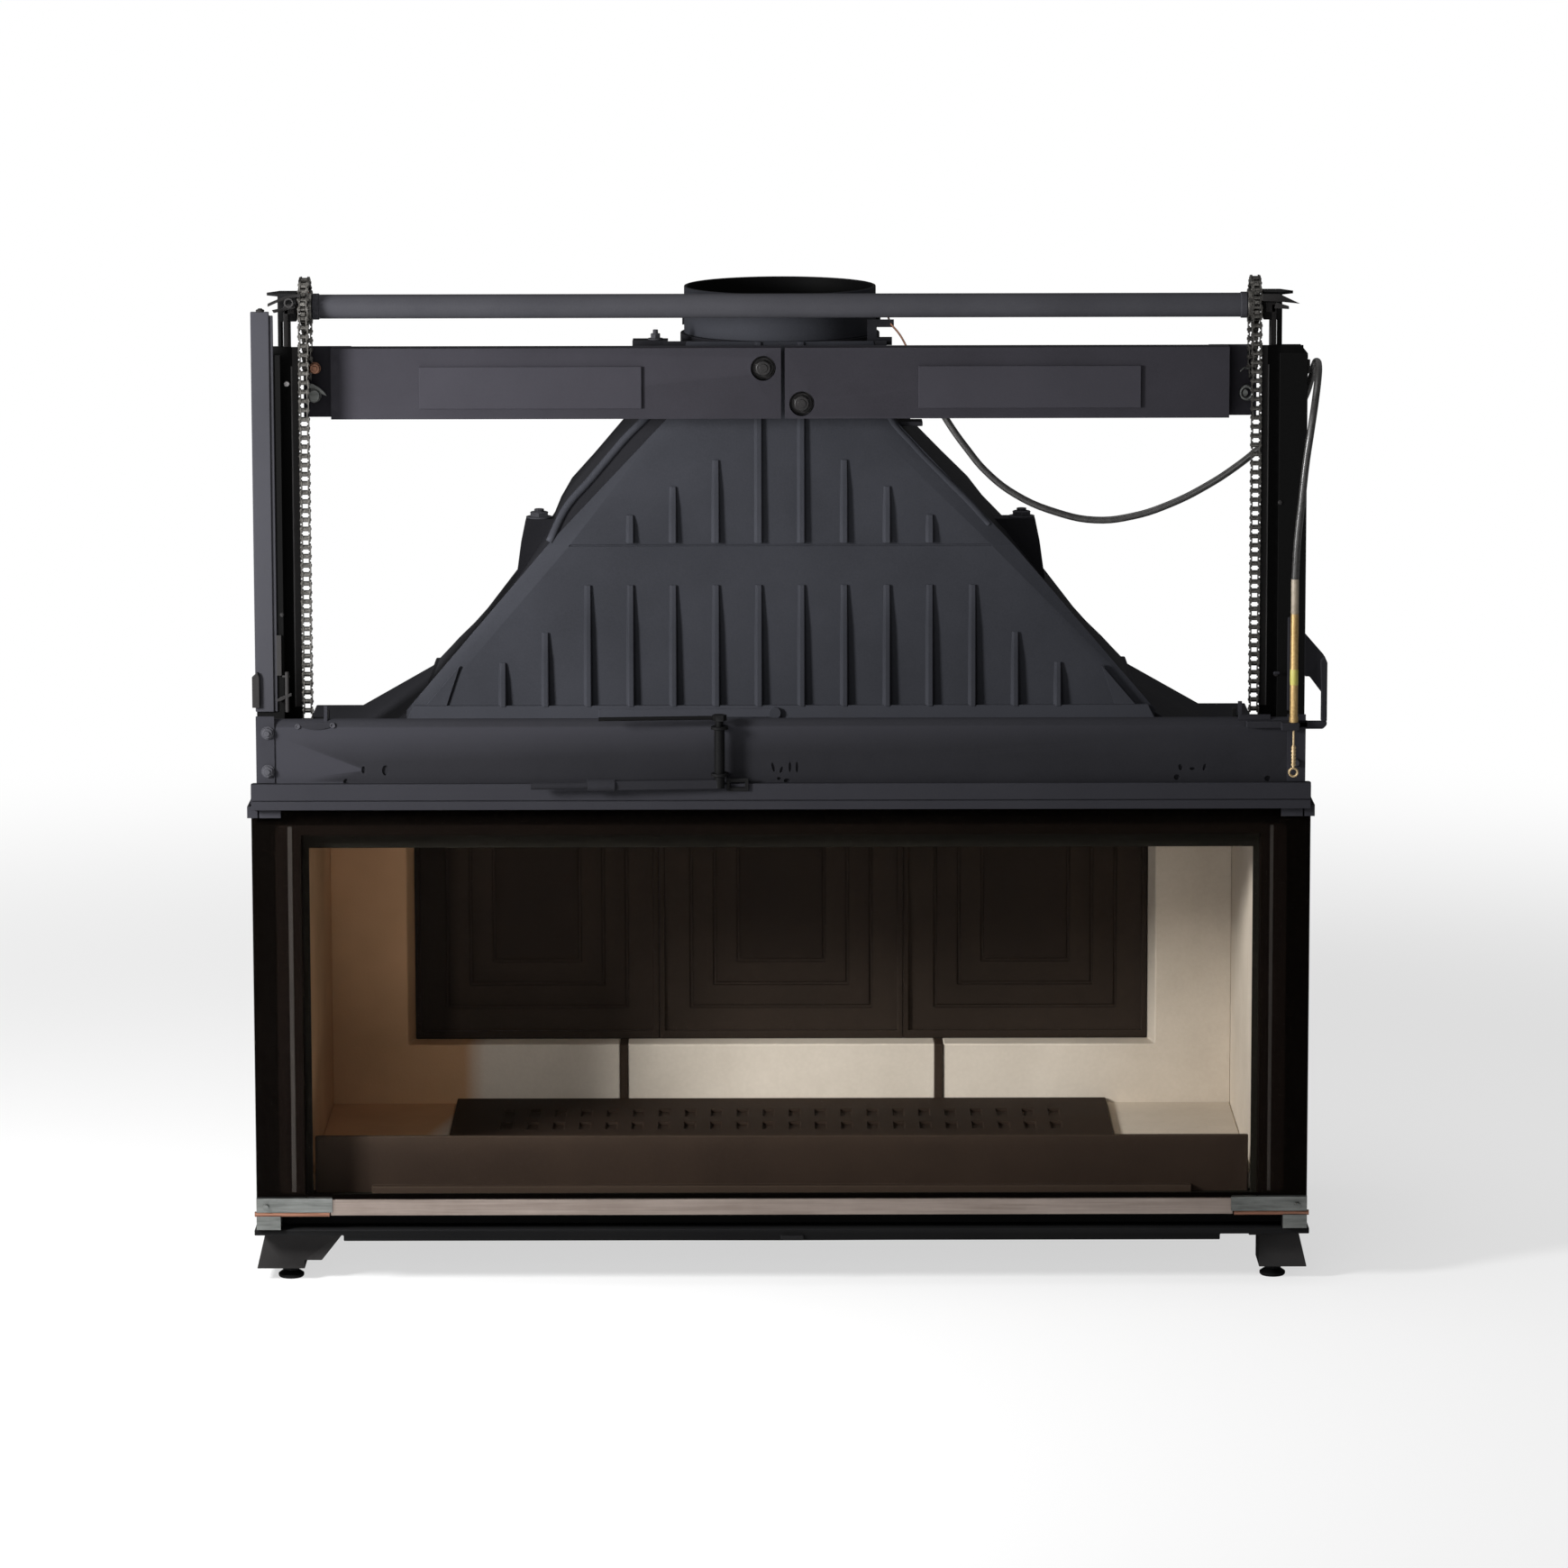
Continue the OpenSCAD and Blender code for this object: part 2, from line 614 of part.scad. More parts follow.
// The leaning plane of the dome's front plate, from its foot up
module dome_face() translate([0, dome_y, dome_front_z]) rotate([-dome_lean, 0, 0]) children();

// One tapered rib on the front plate, between two heights
module rib(x, low, top)
    translate([x - rib_w / 2, 0, 0]) rotate([90, 0, 90]) linear_extrude(rib_w)
        polygon([[eps, low], [-9, low + 2], [-2.5, top - 3], [eps, top]]);

function rib_top_low(i) = i < 5 ? 159 : i < 6 ? 109 : 77;
function rib_top_high(i) = dome_face_h - [0, 124, 152, 182][i];

// Half widths over heights of the front plate, drawn in at its slanting edges
function dome_face_outline(inset) = mirror_x([
    [dome_foot_x - inset, 0], [dome_foot_x - inset, 26], [dome_joint_x - inset, joint_h],
    [dome_joint_x - 126 - 1.4 * inset, joint_h + 133],
    [dome_top_x - 20 - 1.4 * inset, dome_face_h]]);

module dome_front() place() color(panelgrey) dome_face() {
    difference() {
        for (step = [0 : 3])
            plate_xz(2 * step, dome_plate_t - 2 * step) polygon(dome_face_outline(18 - 6 * step));
        plate_xz(-1, 2.5) translate([-dome_joint_x, joint_h]) square([2 * dome_joint_x, 2]);
    }
    plate_xz(-7, 7)
        polygon(mirror_x([[dome_foot_x, 16], [dome_foot_x - 8, 32]]));
    for (side = [-1, 1], i = [0 : 6]) {
        x = side * (i + 0.5) * rib_pitch;
        rib(x, 32, rib_top_low(i));
        if (i < 4) rib(x, joint_h + 3, rib_top_high(i));
    }
}

// A ring with a socket for the flue pipe above a ledge
module flue_collar() place() color(panelgrey)
    translate([0, collar_y, 0]) difference() {
        translate([0, 0, collar_z]) cylinder(d = collar_d, h = collar_h, $fn = 96);
        translate([0, 0, collar_z - 1]) cylinder(r = throat_r, h = collar_h + 2, $fn = 96);
        translate([0, 0, collar_z + collar_h - socket_depth])
            cylinder(r = socket_r, h = socket_depth + 1, $fn = 96);
        translate([0, 0, crank_z]) bar_x(8 + 2 * run_gap, [-collar_d, collar_d]);
    }

// The flap, its axle and the crank on the axle's right end
module damper_flap() place() color(castgrey) translate([0, collar_y, crank_z]) {
    difference() {
        translate([0, 0, -flap_t / 2]) cylinder(r = flap_r, h = flap_t, $fn = 96);
        bar_x(8, [-collar_d, collar_d]);
    }
    bar_x(8, [-crank_x, crank_x + 3]);
    slab([crank_x, crank_x + 3], [-5, 5], [-4, 26]);
    translate([0, 0, 22]) bar_x(5, [crank_x + 3, crank_x + 11]);
}

// The lintel plate with its rolled top edge, end cheeks and facade holes
module lintel_plate() place() color(charcoal) {
    x = half_w - lintel_inset;
    difference() {
        slab([-x, x], [0, lintel_t], [lintel_z, lintel_top]);
        both() translate([half_w - facade_inset, 0, lintel_z + 13]) bar_y(facade_hole_d, [-1, lintel_t + 1]);
    }
    slab([-x, x], [lintel_t, 9], [lintel_top - 3, lintel_top]);
    both() {
        slab([x - 24, x], [lintel_t, lintel_t + 3], [ledge_z - 10, lintel_top - 3]);
        slab([x - 24, cheek_x + cheek_t], [lintel_t, lintel_t + 3], [ledge_z - 10, ledge_z + 2]);
        slab([cheek_x, cheek_x + cheek_t], [lintel_t, column_y], [ledge_z - 10, ledge_z + 2]);
        slab([column_out - 3, cheek_x + 1], [column_y - 4, column_y], [ledge_z - 10, ledge_z + 2]);
    }
}

module lintel_ledge() place() color(charcoal) {
    x = half_w - 4.5;
    slab([-x, x], [-ledge_out, 0], [lintel_z - ledge_top_h, lintel_z]);
    slab([-x, x], [-ledge_out + 2, 0], [ledge_z + ledge_low_h, lintel_z - ledge_top_h]);
    slab([-x, x], [-ledge_out, 0], [ledge_z, ledge_z + ledge_low_h]);
    slab([-x + 1, x - 1], [0, lintel_t], [ledge_z, lintel_z]);
}

// A channel beside the firebox that guides the door's rollers
module column(side) place() color(black) on_side(side) {
    slab([column_in, column_out], [column_y, column_y + column_sheet], [base_top, column_top]);
    slab([column_out - column_sheet, column_out], [column_y + column_sheet, column_back],
         [base_top, column_top]);
    slab([column_in, column_out - column_sheet], [column_back - column_sheet, column_back],
         [base_top, column_top]);
}
module column_left() column(-1);
module column_right() column(1);

module guide_rails() place() color(black) both() {
    top = shaft_z - 40;
    slab([column_in, column_out - column_sheet], [rail_y, rail_y + rail_t], [base_top, top]);
    slab([column_in - rail_lip, column_in], [rail_y, rail_y + rail_t], [casing_top + 2, top]);
}

// The tall strip on the front of the left column
module outer_strip() place() color(charcoal) {
    x = column_out + 1;
    slab([-x, -x + strip_face_w], [column_y - 4, column_y], [lintel_top + 1, shaft_z]);
    slab([-x + strip_face_w, -x + strip_face_w + 4], [column_y - 2, column_y],
         [lintel_top + 1, shaft_z - 4]);
}

// The bracket and block that hold one end of the shaft
module top_bracket(side) place() color(black) on_side(side) {
    difference() {
        slab([block_in, block_out], [shaft_y - 16, shaft_y + 16], [shaft_z - 14, shaft_z + 12]);
        translate([0, shaft_y, shaft_z]) bar_x(18, [block_in - 1, block_out + 1]);
    }
    slab([block_out, block_out + 3], [shaft_y - 16, shaft_y + 16], [column_top - 30, shaft_z + 12]);
    slab([block_out, column_out - column_sheet], [rail_y + rail_t, rail_y + rail_t + 3],
         [column_top - 30, shaft_z - 42]);
    translate([0, 0, shaft_z + 12]) linear_extrude(3)
        polygon([[block_in, shaft_y - 16], [block_in, shaft_y + 16],
                 [block_out + 3, shaft_y + 16], [block_out + 15, shaft_y - 4],
                 [block_out + 3, shaft_y - 16]]);
}
module top_bracket_left() top_bracket(-1);
module top_bracket_right() top_bracket(1);

module shaft_bushes() place() color(brass) both()
    translate([0, shaft_y, shaft_z]) difference() {
        bar_x(18, [block_in, block_out]);
        bar_x(axle_d + 2 * run_gap, [block_in - 1, block_out + 1]);
    }

// The shaft tube with a plug and a stub axle in each end
module shaft_tube() place() color(charcoal) translate([0, shaft_y, shaft_z]) {
    difference() {
        bar_x(shaft_d, [-chain_x + 8, chain_x - 8]);
        bar_x(shaft_d - 2 * shaft_wall, [-chain_x + 28, chain_x - 28]);
    }
    both() bar_x(axle_d, [chain_x - 8, block_out - 1]);
}

// A sprocket whose gaps seat the chain rollers
module sprockets() place() color(chainsteel) both()
    translate([chain_x, shaft_y, shaft_z]) difference() {
        union() {
            bar_x(2 * tip_r, [-sprocket_w / 2, sprocket_w / 2]);
            bar_x(34, [-7.8, 4.5]);
        }
        for (i = [0 : sprocket_teeth - 1])
            rotate([i * 360 / sprocket_teeth, 0, 0]) translate([0, -pitch_r, 0])
                bar_x(chain_roller_d + 1.4, [-sprocket_w, sprocket_w]);
        bar_x(axle_d, [-9, 9]);
    }

// The chain's path over a sprocket: a half ring open towards the teeth
module chain_wraps() place() color(chainsteel) both()
    translate([chain_x, shaft_y, shaft_z]) rotate([0, 90, 0])
        rotate([0, 0, 90]) rotate_extrude(angle = 180) {
            for (x = [-5.3, 4.1]) translate([pitch_r - chain_plate_h / 2, x])
                square([chain_plate_h, 1.2]);
            translate([tip_r + 0.5, -5.3])
                square([pitch_r + chain_plate_h / 2 - tip_r - 0.5, 10.6]);
        }

// One straight run of roller chain down from a height, with plates by turns inside and out
module chain_run(y, top, n) {
    h = chain_plate_h / 2;
    for (i = [0 : n]) translate([0, y, top - i * chain_pitch]) bar_x(chain_roller_d - 1, [-5.3, 5.3]);
    for (i = [0 : n - 1], s = [-1, 1]) {
        x = s * (i % 2 == 0 ? 3.6 : 4.9);
        z = top - i * chain_pitch;
        plate_yz(x - 0.6, 1.2)
            polygon([for (p = [[-h, h / 2], [-h / 2, h], [h / 2, h], [h, h / 2],
                               [h, -chain_pitch - h / 2], [h / 2, -chain_pitch - h],
                               [-h / 2, -chain_pitch - h], [-h, -chain_pitch - h / 2]])
                     [y + p[0], z + p[1]]]);
    }
}
chain_rear_n = floor((shaft_z - anchor_z) / chain_pitch) - 1;
module chain_fronts() place() color(chainsteel) both()
    translate([chain_x, 0, 0]) chain_run(chain_front_y, shaft_z - chain_pitch, chain_front_n);
module chain_rears() place() color(chainsteel) both()
    translate([chain_x, 0, 0]) chain_run(chain_rear_y, shaft_z - chain_pitch, chain_rear_n);

// The moving frame behind the glass
module door_frame() place() color(black) {
    inner_x = opening_x + 6;
    low = opening_z + 1;
    top = opening_top_z + 19;
    ring_slab(door_x, [glass_z, glass_top], inner_x, [low, top], [door_y, door_y + door_sheet]);
    ring_slab(inner_x + 9, [low - 8, top + 9], inner_x, [low, top], [door_y + door_sheet, door_back]);
    ring_slab(door_x, [glass_z, glass_top], door_x - door_sheet,
              [glass_z + door_sheet, glass_top - door_sheet], [door_y + door_sheet, door_back - 4]);
    both() for (z = [glass_z + 66, glass_top - 40]) {
        slab([arm_x, arm_x + arm_t], [door_y + door_sheet, roller_y + 9], [z - 14, z + 14]);
        translate([0, roller_y, z]) bar_x(10, [arm_x + arm_t, arm_x + arm_t + 4 + roller_w]);
    }
}

// A pair of guide rollers on the door frame's axles
module roller_pair(z) place() color(zinc) both()
    translate([0, roller_y, z]) difference() {
        bar_x(roller_d, [arm_x + arm_t + 1, arm_x + arm_t + 1 + roller_w]);
        bar_x(10 + 2 * run_gap, [arm_x, arm_x + 40]);
    }
module roller_upper() roller_pair(glass_top - 40);
module roller_lower() roller_pair(glass_z + 66);

module door_glass() place() color(glasstint)
    slab([-glass_w / 2, glass_w / 2], [glass_y, glass_back], [glass_z, glass_top]);

module door_seal() place() color(ropegrey)
    ring_slab(opening_x + 14, [opening_z - 6, opening_top_z + 27],
              opening_x + 7, [opening_z + 0.5, opening_top_z + 20],
              [door_back, seal_frame_y - air]);

module bottom_strip() place() color(stainless)
    slab([-strip_w / 2, strip_w / 2], [glass_y - 4.5, glass_y - air],
         [glass_z - 6, glass_z - 6 + strip_h]);

// The clamp, knob, pin and pivot block at each lower corner of the glass
module glass_clamps() place() color(zinc) both() {
    x = glass_w / 2 - 1;
    low = glass_z - 2;
    top = glass_z + 13;
    face = glass_y - 7.5;
    slab([x - clamp_w, x], [face, glass_y - 4.7], [low, top]);
    slab([x - clamp_w + 1, x - 52], [glass_y - 4.7, glass_y - air],
         [glass_z - 5.5 + strip_h, top]);
    slab([x - 51, x], [glass_y - 4.7, glass_y - air], [low, top]);
    slab([x - 51, x], [glass_y - air, glass_back + 4], [low, glass_z - air]);
    translate([x - 10, face + 1, glass_z + 4]) rotate([90, 0, 0]) cylinder(d = 6, h = 5);
    translate([0, glass_y - 5, glass_z - 4.2]) bar_x(5.6, [strip_w / 2 + 1, x + 2]);
    slab([x - 25, x], [glass_y - 8, glass_y + 16], [glass_z - 20.4, glass_z - 6]);
}

// The sheet arms and pins that hang the door on its chains
module lift_arms() place() color(black) both() {
    top = chain_end_z + 10;
    plate_yz(chain_x - 22, 4)
        polygon([[door_y + 4, glass_top], [door_back - 5, glass_top], [door_back, glass_top + 30],
                 [chain_front_y + 5, top - 27], [chain_front_y + 5, top],
                 [chain_front_y - 5, top], [chain_front_y - 5, top - 18],
                 [door_y + 4, glass_top + 25]]);
    translate([0, chain_front_y, chain_end_z]) bar_x(5, [chain_x - 18, chain_x - 5.5]);
}

// The two halves of the counterweight, with the bolt holes and the end plates behind the chains
module counterweight_halves() place() color(charcoal)
    for (side = [-1, 1]) {
        x0 = side < 0 ? -weight_x : 5;
        x1 = side < 0 ? 1 : weight_x;
        back = weight_y + weight_depth;
        difference() {
            slab([x0, x1], [weight_y, back], [weight_z, weight_top]);
            for (hole = weight_holes)
                translate([hole[0], 0, hole[1]]) bar_y(weight_hole_d, [weight_y - 1, weight_y + 9]);
        }
        slab(side < 0 ? [-weight_end_x, -weight_x + 20] : [weight_x - 20, weight_end_x],
             [back, back + 4], [weight_z, weight_top]);
    }

module weight_face_plates() place() color(charcoal) both()
    slab([weight_x - 92 - face_plate_l, weight_x - 92], [weight_y - 3, weight_y],
         [weight_z + 11, weight_z + 11 + face_plate_h]);

// Joining bolts, and the pins and eyes that end the rear chains
module weight_hardware() place() color(zinc) {
    for (hole = weight_holes)
        translate([hole[0], weight_y + 9, hole[1]]) rotate([90, 0, 0])
            cylinder(d = 17 / cos(30), h = 7, $fn = 6);
    both() {
        translate([chain_x - 6, 0, anchor_z - 17]) difference() {
            bar_y(17, [chain_rear_y - 9, chain_rear_y - 5]);
            bar_y(9, [chain_rear_y - 10, chain_rear_y - 4]);
        }
        translate([chain_x - 9, 0, anchor_z - 17])
            bar_y(6, [chain_rear_y - 5, weight_y + weight_depth]);
    }
}

// The spindle with its top rod, and the long arm with its knuckle and tip a little forward
module air_lever() place() color(charcoal) translate([lever_x, lever_y, 0]) rotate([0, 0, 4]) {
    translate([0, 0, lever_z - 4.5]) cylinder(d = spindle_d, h = lintel_top - lever_z - 4);
    translate([0, 0, lintel_top - 9]) cylinder(d = 8, h = 10.5);
    slab([-lever_l, spindle_d / 4], [-4, 4], [lever_z - 4.5, lever_z + 4.5]);
    translate([0, 0, lever_z]) bar_x(13, [-lever_l, 28 - lever_l]);
    translate([0, 0, lever_z]) bar_x(7, [-lever_l - lever_tip_l, 1 - lever_l]);
    translate([0, 0, lintel_top + 1]) cylinder(d = 13 / cos(30), h = 6, $fn = 6);
    translate([0, 0, lintel_top + 4]) bar_x(4, [-124, 0]);
}

// The two eyes that carry the spindle, and the fixed loop beside it
module lever_bracket() place() color(black) {
    translate([lever_x, lever_y, 0]) for (z = [lintel_top - 8, lever_z + 8]) {
        d = z > lintel_top - 20 ? 8 : spindle_d;
        difference() {
            union() {
                translate([0, 0, z]) cylinder(d = spindle_d + 7, h = 3);
                slab([-5, 5], [0, -lever_y], [z, z + 3]);
            }
            translate([0, 0, z - 1]) cylinder(d = d + 2 * run_gap, h = 5);
        }
    }
    translate([lever_x, -ledge_out - 3, lintel_z - 7]) difference() {
        cube([30, 3, 13]);
        translate([-1, -1, -1]) cube([8, 5, 15]);
        translate([11, -1, 4]) cube([15, 5, 5]);
    }
}

// The bracket on the lintel's right end that clamps the cable
module cable_bracket() place() color(black) {
    slab([pull_x - 48, half_w - 8], [pull_y + 5, 0], [clamp_z - 3, clamp_z + 5]);
    difference() {
        slab([pull_x - 6, pull_x + 6], [pull_y - 7, pull_y + 5], [clamp_z - 3, clamp_z + 5]);
        translate([pull_x, pull_y, clamp_z - 4]) cylinder(d = wire_d + 2 * run_gap, h = 10);
    }
    plate_xz(pull_y + 5, 5) difference() {
        polygon([[half_w - 16, clamp_z - 3], [half_w + 11, clamp_z - 3], [half_w + 11, clamp_z + 66],
                 [half_w + 8, clamp_z + 73], [half_w - 12, clamp_z + 96], [half_w - 12, clamp_z + 5]]);
        polygon([[half_w - 7, clamp_z + 5], [half_w + 5, clamp_z + 5], [half_w + 5, clamp_z + 35],
                 [half_w - 7, clamp_z + 51]]);
    }
}

// Points between two route points on a smooth curve
function curve_point(a, b, c, d, t) =
    0.5 * ((2 * b) + (c - a) * t + (2 * a - 5 * b + 4 * c - d) * t * t
           + (3 * b - a - 3 * c + d) * t * t * t);
function smooth_route(p, steps) = let (n = len(p)) concat(
    [for (i = [0 : n - 2], k = [0 : steps - 1])
        curve_point(p[max(i - 1, 0)], p[i], p[i + 1], p[min(i + 2, n - 1)], k / steps)],
    [p[n - 1]]);
function unit(v) = v / norm(v);
// A round tube swept along points, with a steady sideways direction
module swept_tube(p, d, sides) {
    n = len(p);
    points = [for (i = [0 : n - 1])
        let (t = unit(p[min(i + 1, n - 1)] - p[max(i - 1, 0)]),
             u = unit(cross(t, [0.35, 0.9, 0.25])), v = cross(t, u))
            for (k = [0 : sides - 1])
                p[i] + d / 2 * (cos(360 * k / sides) * u + sin(360 * k / sides) * v)];
    faces = concat([[for (k = [0 : sides - 1]) k]],
        [[for (k = [sides - 1 : -1 : 0]) (n - 1) * sides + k]],
        [for (i = [0 : n - 2], k = [0 : sides - 1]) let (a = i * sides, b = (k + 1) % sides)
            [a + k, a + sides + k, a + b]],
        [for (i = [0 : n - 2], k = [0 : sides - 1]) let (a = i * sides, b = (k + 1) % sides)
            [a + b, a + sides + k, a + sides + b]]);
    polyhedron(points, faces, convexity = 8);
}
module cable_sheath() place() color(black)
    swept_tube(smooth_route(cable_route, 3), sheath_d, 12);

// The sleeve and ferrule at the lower end of the cable, standing on the clamp
module cable_sleeve() place() color(brass) translate([pull_x, pull_y, clamp_z + 5])
    difference() {
        length = cable_route[len(cable_route) - 1][2] - clamp_z - 5;
        union() {
            cylinder(d = 9.5, h = length - 42);
            cylinder(d = 8.5, h = length);
        }
        translate([0, 0, -1]) cylinder(d = wire_d + 2 * run_gap, h = pull_travel + 30);
    }

// The inner wire below the clamp, with its crimp and ring
module pull_wire() place() color(brass) translate([pull_x, pull_y, 0]) {
    ring_z = clamp_z - 49;
    translate([0, 0, ring_z + ring_d / 2 - 1])
        cylinder(d = wire_d, h = clamp_z - ring_z + pull_travel + 20);
    translate([0, 0, ring_z + ring_d / 2 - 1]) cylinder(d = 5, h = 22);
    translate([0, -1, ring_z]) rotate([-90, 0, 0]) difference() {
        cylinder(d = ring_d, h = 2);
        translate([0, 0, -1]) cylinder(d = ring_d - 4, h = 4);
    }
}

// The bolts and screws that hold the frame's pieces
module frame_bolts() place() color(zinc) {
    x = half_w - lintel_inset - 12;
    for (p = [[-x, lintel_top - 13, 10], [-x, lintel_z + 13, 10], [x + 2, lintel_z + 20, 7]])
        translate([p[0], 0, p[1]]) rotate([90, 0, 0]) cylinder(d = p[2] / cos(30), h = 5, $fn = 6);
    both() translate([dome_joint_x + 14, dome_y + 147, dome_foot_z + 174]) {
        cylinder(d = 17 / cos(30), h = 7, $fn = 6);
        translate([0, 0, 7]) cylinder(d = 10, h = 5);
    }
    translate([-dome_top_x - 13, dome_y + 40, collar_z]) cylinder(d = 10 / cos(30), h = 6, $fn = 6);
}

base_frame();
foot_brackets();
firebox_floor();
firebox_left_wall();
firebox_right_wall();
firebox_back();
seal_frame();
lintel_shelf();
lining_left();
lining_right();
lining_floor();
lining_rear();
divider_bars();
fireback_left();
fireback_centre();
fireback_right();
hearth_plate();
log_retainer();
smoke_baffle();
dome_skirt();
dome_shell();
dome_front();
flue_collar();
lintel_plate();
lintel_ledge();
column_left();
column_right();
guide_rails();
outer_strip();
top_bracket_left();
top_bracket_right();
shaft_bushes();
cable_bracket();
cable_sheath();
cable_sleeve();
lever_bracket();
frame_bolts();
chain_wraps();
door_frame();
door_glass();
door_seal();
bottom_strip();
glass_clamps();
lift_arms();
chain_fronts();
roller_upper();
roller_lower();
counterweight_halves();
weight_face_plates();
weight_hardware();
chain_rears();
shaft_tube();
sprockets();
damper_flap();
pull_wire();
air_lever();
foot_front_left();
foot_front_right();
foot_rear_left();
foot_rear_right();
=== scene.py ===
import bpy, bmesh
from math import radians, pi, sin, cos
from mathutils import Vector, Matrix


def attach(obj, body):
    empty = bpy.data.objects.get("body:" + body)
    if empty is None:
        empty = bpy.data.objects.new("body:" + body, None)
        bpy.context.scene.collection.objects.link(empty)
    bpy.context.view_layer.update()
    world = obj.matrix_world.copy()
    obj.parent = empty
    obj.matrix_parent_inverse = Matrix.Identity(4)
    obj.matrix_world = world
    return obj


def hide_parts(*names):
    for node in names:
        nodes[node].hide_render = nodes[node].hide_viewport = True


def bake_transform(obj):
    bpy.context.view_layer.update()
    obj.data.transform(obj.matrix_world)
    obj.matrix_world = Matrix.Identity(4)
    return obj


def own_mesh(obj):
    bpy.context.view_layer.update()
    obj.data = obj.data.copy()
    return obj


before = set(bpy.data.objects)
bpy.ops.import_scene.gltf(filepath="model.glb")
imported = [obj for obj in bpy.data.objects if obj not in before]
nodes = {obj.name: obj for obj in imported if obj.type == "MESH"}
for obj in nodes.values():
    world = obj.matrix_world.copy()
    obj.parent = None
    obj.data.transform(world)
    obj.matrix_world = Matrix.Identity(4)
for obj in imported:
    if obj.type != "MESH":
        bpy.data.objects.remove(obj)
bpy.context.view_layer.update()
print("frame loaded:", len(nodes), "nodes")

drawingMid = 225.0  # the drawing runs back from the lintel face, the frame from the middle
up, forward, back, across = Vector((0, 0, 1)), Vector((0, -1, 0)), Vector((0, 1, 0)), Vector((1, 0, 0))


def at(x, y, z):  # drawing millimetres to frame metres
    return Vector((x / 1000.0, (y - drawingMid) / 1000.0, z / 1000.0))


def addObject(name, data):
    obj = bpy.data.objects.new(name, data)
    bpy.context.scene.collection.objects.link(obj)
    return obj


# camera, fitted to the insert's edges in the photo
cameraSet = {
    "back": 6.2183,     # in front of the lintel face
    "height": 1.6392,
    "tiltDown": 8.0,
    "roll": 0.118,
    "lens": 140.6664,
    "shiftY": -0.1410,
    "shiftX": 0.0034,
    "clipEnd": 300,
}
cameraData = bpy.data.cameras.new("insertCamera")
cameraData.lens = cameraSet["lens"]
cameraData.sensor_width = 36
cameraData.sensor_fit = 'HORIZONTAL'
cameraData.shift_x = cameraSet["shiftX"]
cameraData.shift_y = cameraSet["shiftY"]
cameraData.clip_end = cameraSet["clipEnd"]
camera = addObject("insertCamera", cameraData)
camera.location = (0, -cameraSet["back"] - drawingMid / 1000, cameraSet["height"])
camera.rotation_euler = (radians(90 - cameraSet["tiltDown"]), radians(cameraSet["roll"]), 0)
bpy.context.scene.camera = camera
print("camera placed")


# materials
def linear(colour):  # 0-255 screen colour to linear
    def one(c):
        c /= 255.0
        return c / 12.92 if c <= 0.04045 else ((c + 0.055) / 1.055) ** 2.4
    return tuple(one(c) for c in colour) + (1.0,)


def plug(tree, socket, value):
    if hasattr(value, "node"):
        tree.links.new(value, socket)
    else:
        socket.default_value = value


def addNode(tree, kind, inputs=None, **settings):
    # a node with its settings made and each input given a value or a link
    node = tree.nodes.new("ShaderNode" + kind)
    for setting, value in settings.items():
        setattr(node, setting, value)
    for socket, value in (inputs or {}).items():
        plug(tree, node.inputs[socket], value)
    return node


def startMaterial(name):
    mat = bpy.data.materials.new(name)
    mat.use_nodes = True
    tree = mat.node_tree
    tree.nodes.clear()
    shader = addNode(tree, "BsdfPrincipled")
    addNode(tree, "OutputMaterial", {"Surface": shader.outputs["BSDF"]})
    return mat, tree, shader


def objectPlace(tree, **mapped):
    coords = addNode(tree, "TexCoord")
    return addNode(tree, "Mapping", {"Vector": coords.outputs["Object"], **mapped}).outputs["Vector"]


def grainNoise(tree, vector, scale, detail=4.0, rough=0.6):
    inputs = {"Vector": vector, "Scale": scale, "Detail": detail, "Roughness": rough}
    return addNode(tree, "TexNoise", inputs).outputs["Fac"]


def spots(tree, vector, scale):
    return addNode(tree, "TexVoronoi", {"Vector": vector, "Scale": scale}).outputs["Distance"]


def calculate(tree, operation, *values):
    return addNode(tree, "Math", dict(enumerate(values)), operation=operation).outputs[0]


def alongAxis(tree, vector, axis):
    return addNode(tree, "SeparateXYZ", {"Vector": vector}).outputs[axis]


def twoTone(tree, fac, dark, light, low=0.3, high=0.7):
    ramp = addNode(tree, "ValToRGB", {"Fac": fac})
    for element, place, colour in zip(ramp.color_ramp.elements, (low, high), (dark, light)):
        element.position = place
        element.color = linear(colour)
    return ramp.outputs["Color"]


def rangeMap(tree, fac, low, high, inLow=0.3, inHigh=0.7):
    inputs = {"Value": fac, "From Min": inLow, "From Max": inHigh, "To Min": low, "To Max": high}
    return addNode(tree, "MapRange", inputs).outputs["Result"]


def mixColour(tree, fac, a, b, blend='MIX'):
    node = addNode(tree, "Mix", data_type='RGBA', blend_type=blend)
    plug(tree, node.inputs["Factor"], fac)
    for socket, value in (("A", a), ("B", b)):
        plug(tree, [s for s in node.inputs if s.name == socket and s.type == 'RGBA'][0], value)
    return [s for s in node.outputs if s.type == 'RGBA'][0]


def coat(tree, shader, base, roughness, sheen=None, wear=None, wearLow=0.53, wearHigh=0.6):
    # colour, gloss and highlight; edges rub lighter where the bevels stand out
    if wear:
        edges = addNode(tree, "NewGeometry").outputs["Pointiness"]
        base = mixColour(tree, rangeMap(tree, edges, 0.0, 0.6, wearLow, wearHigh), base, linear(wear))
    plug(tree, shader.inputs["Base Color"], base)
    plug(tree, shader.inputs["Roughness"], roughness)
    if sheen is not None:
        shader.inputs["Specular IOR Level"].default_value = sheen


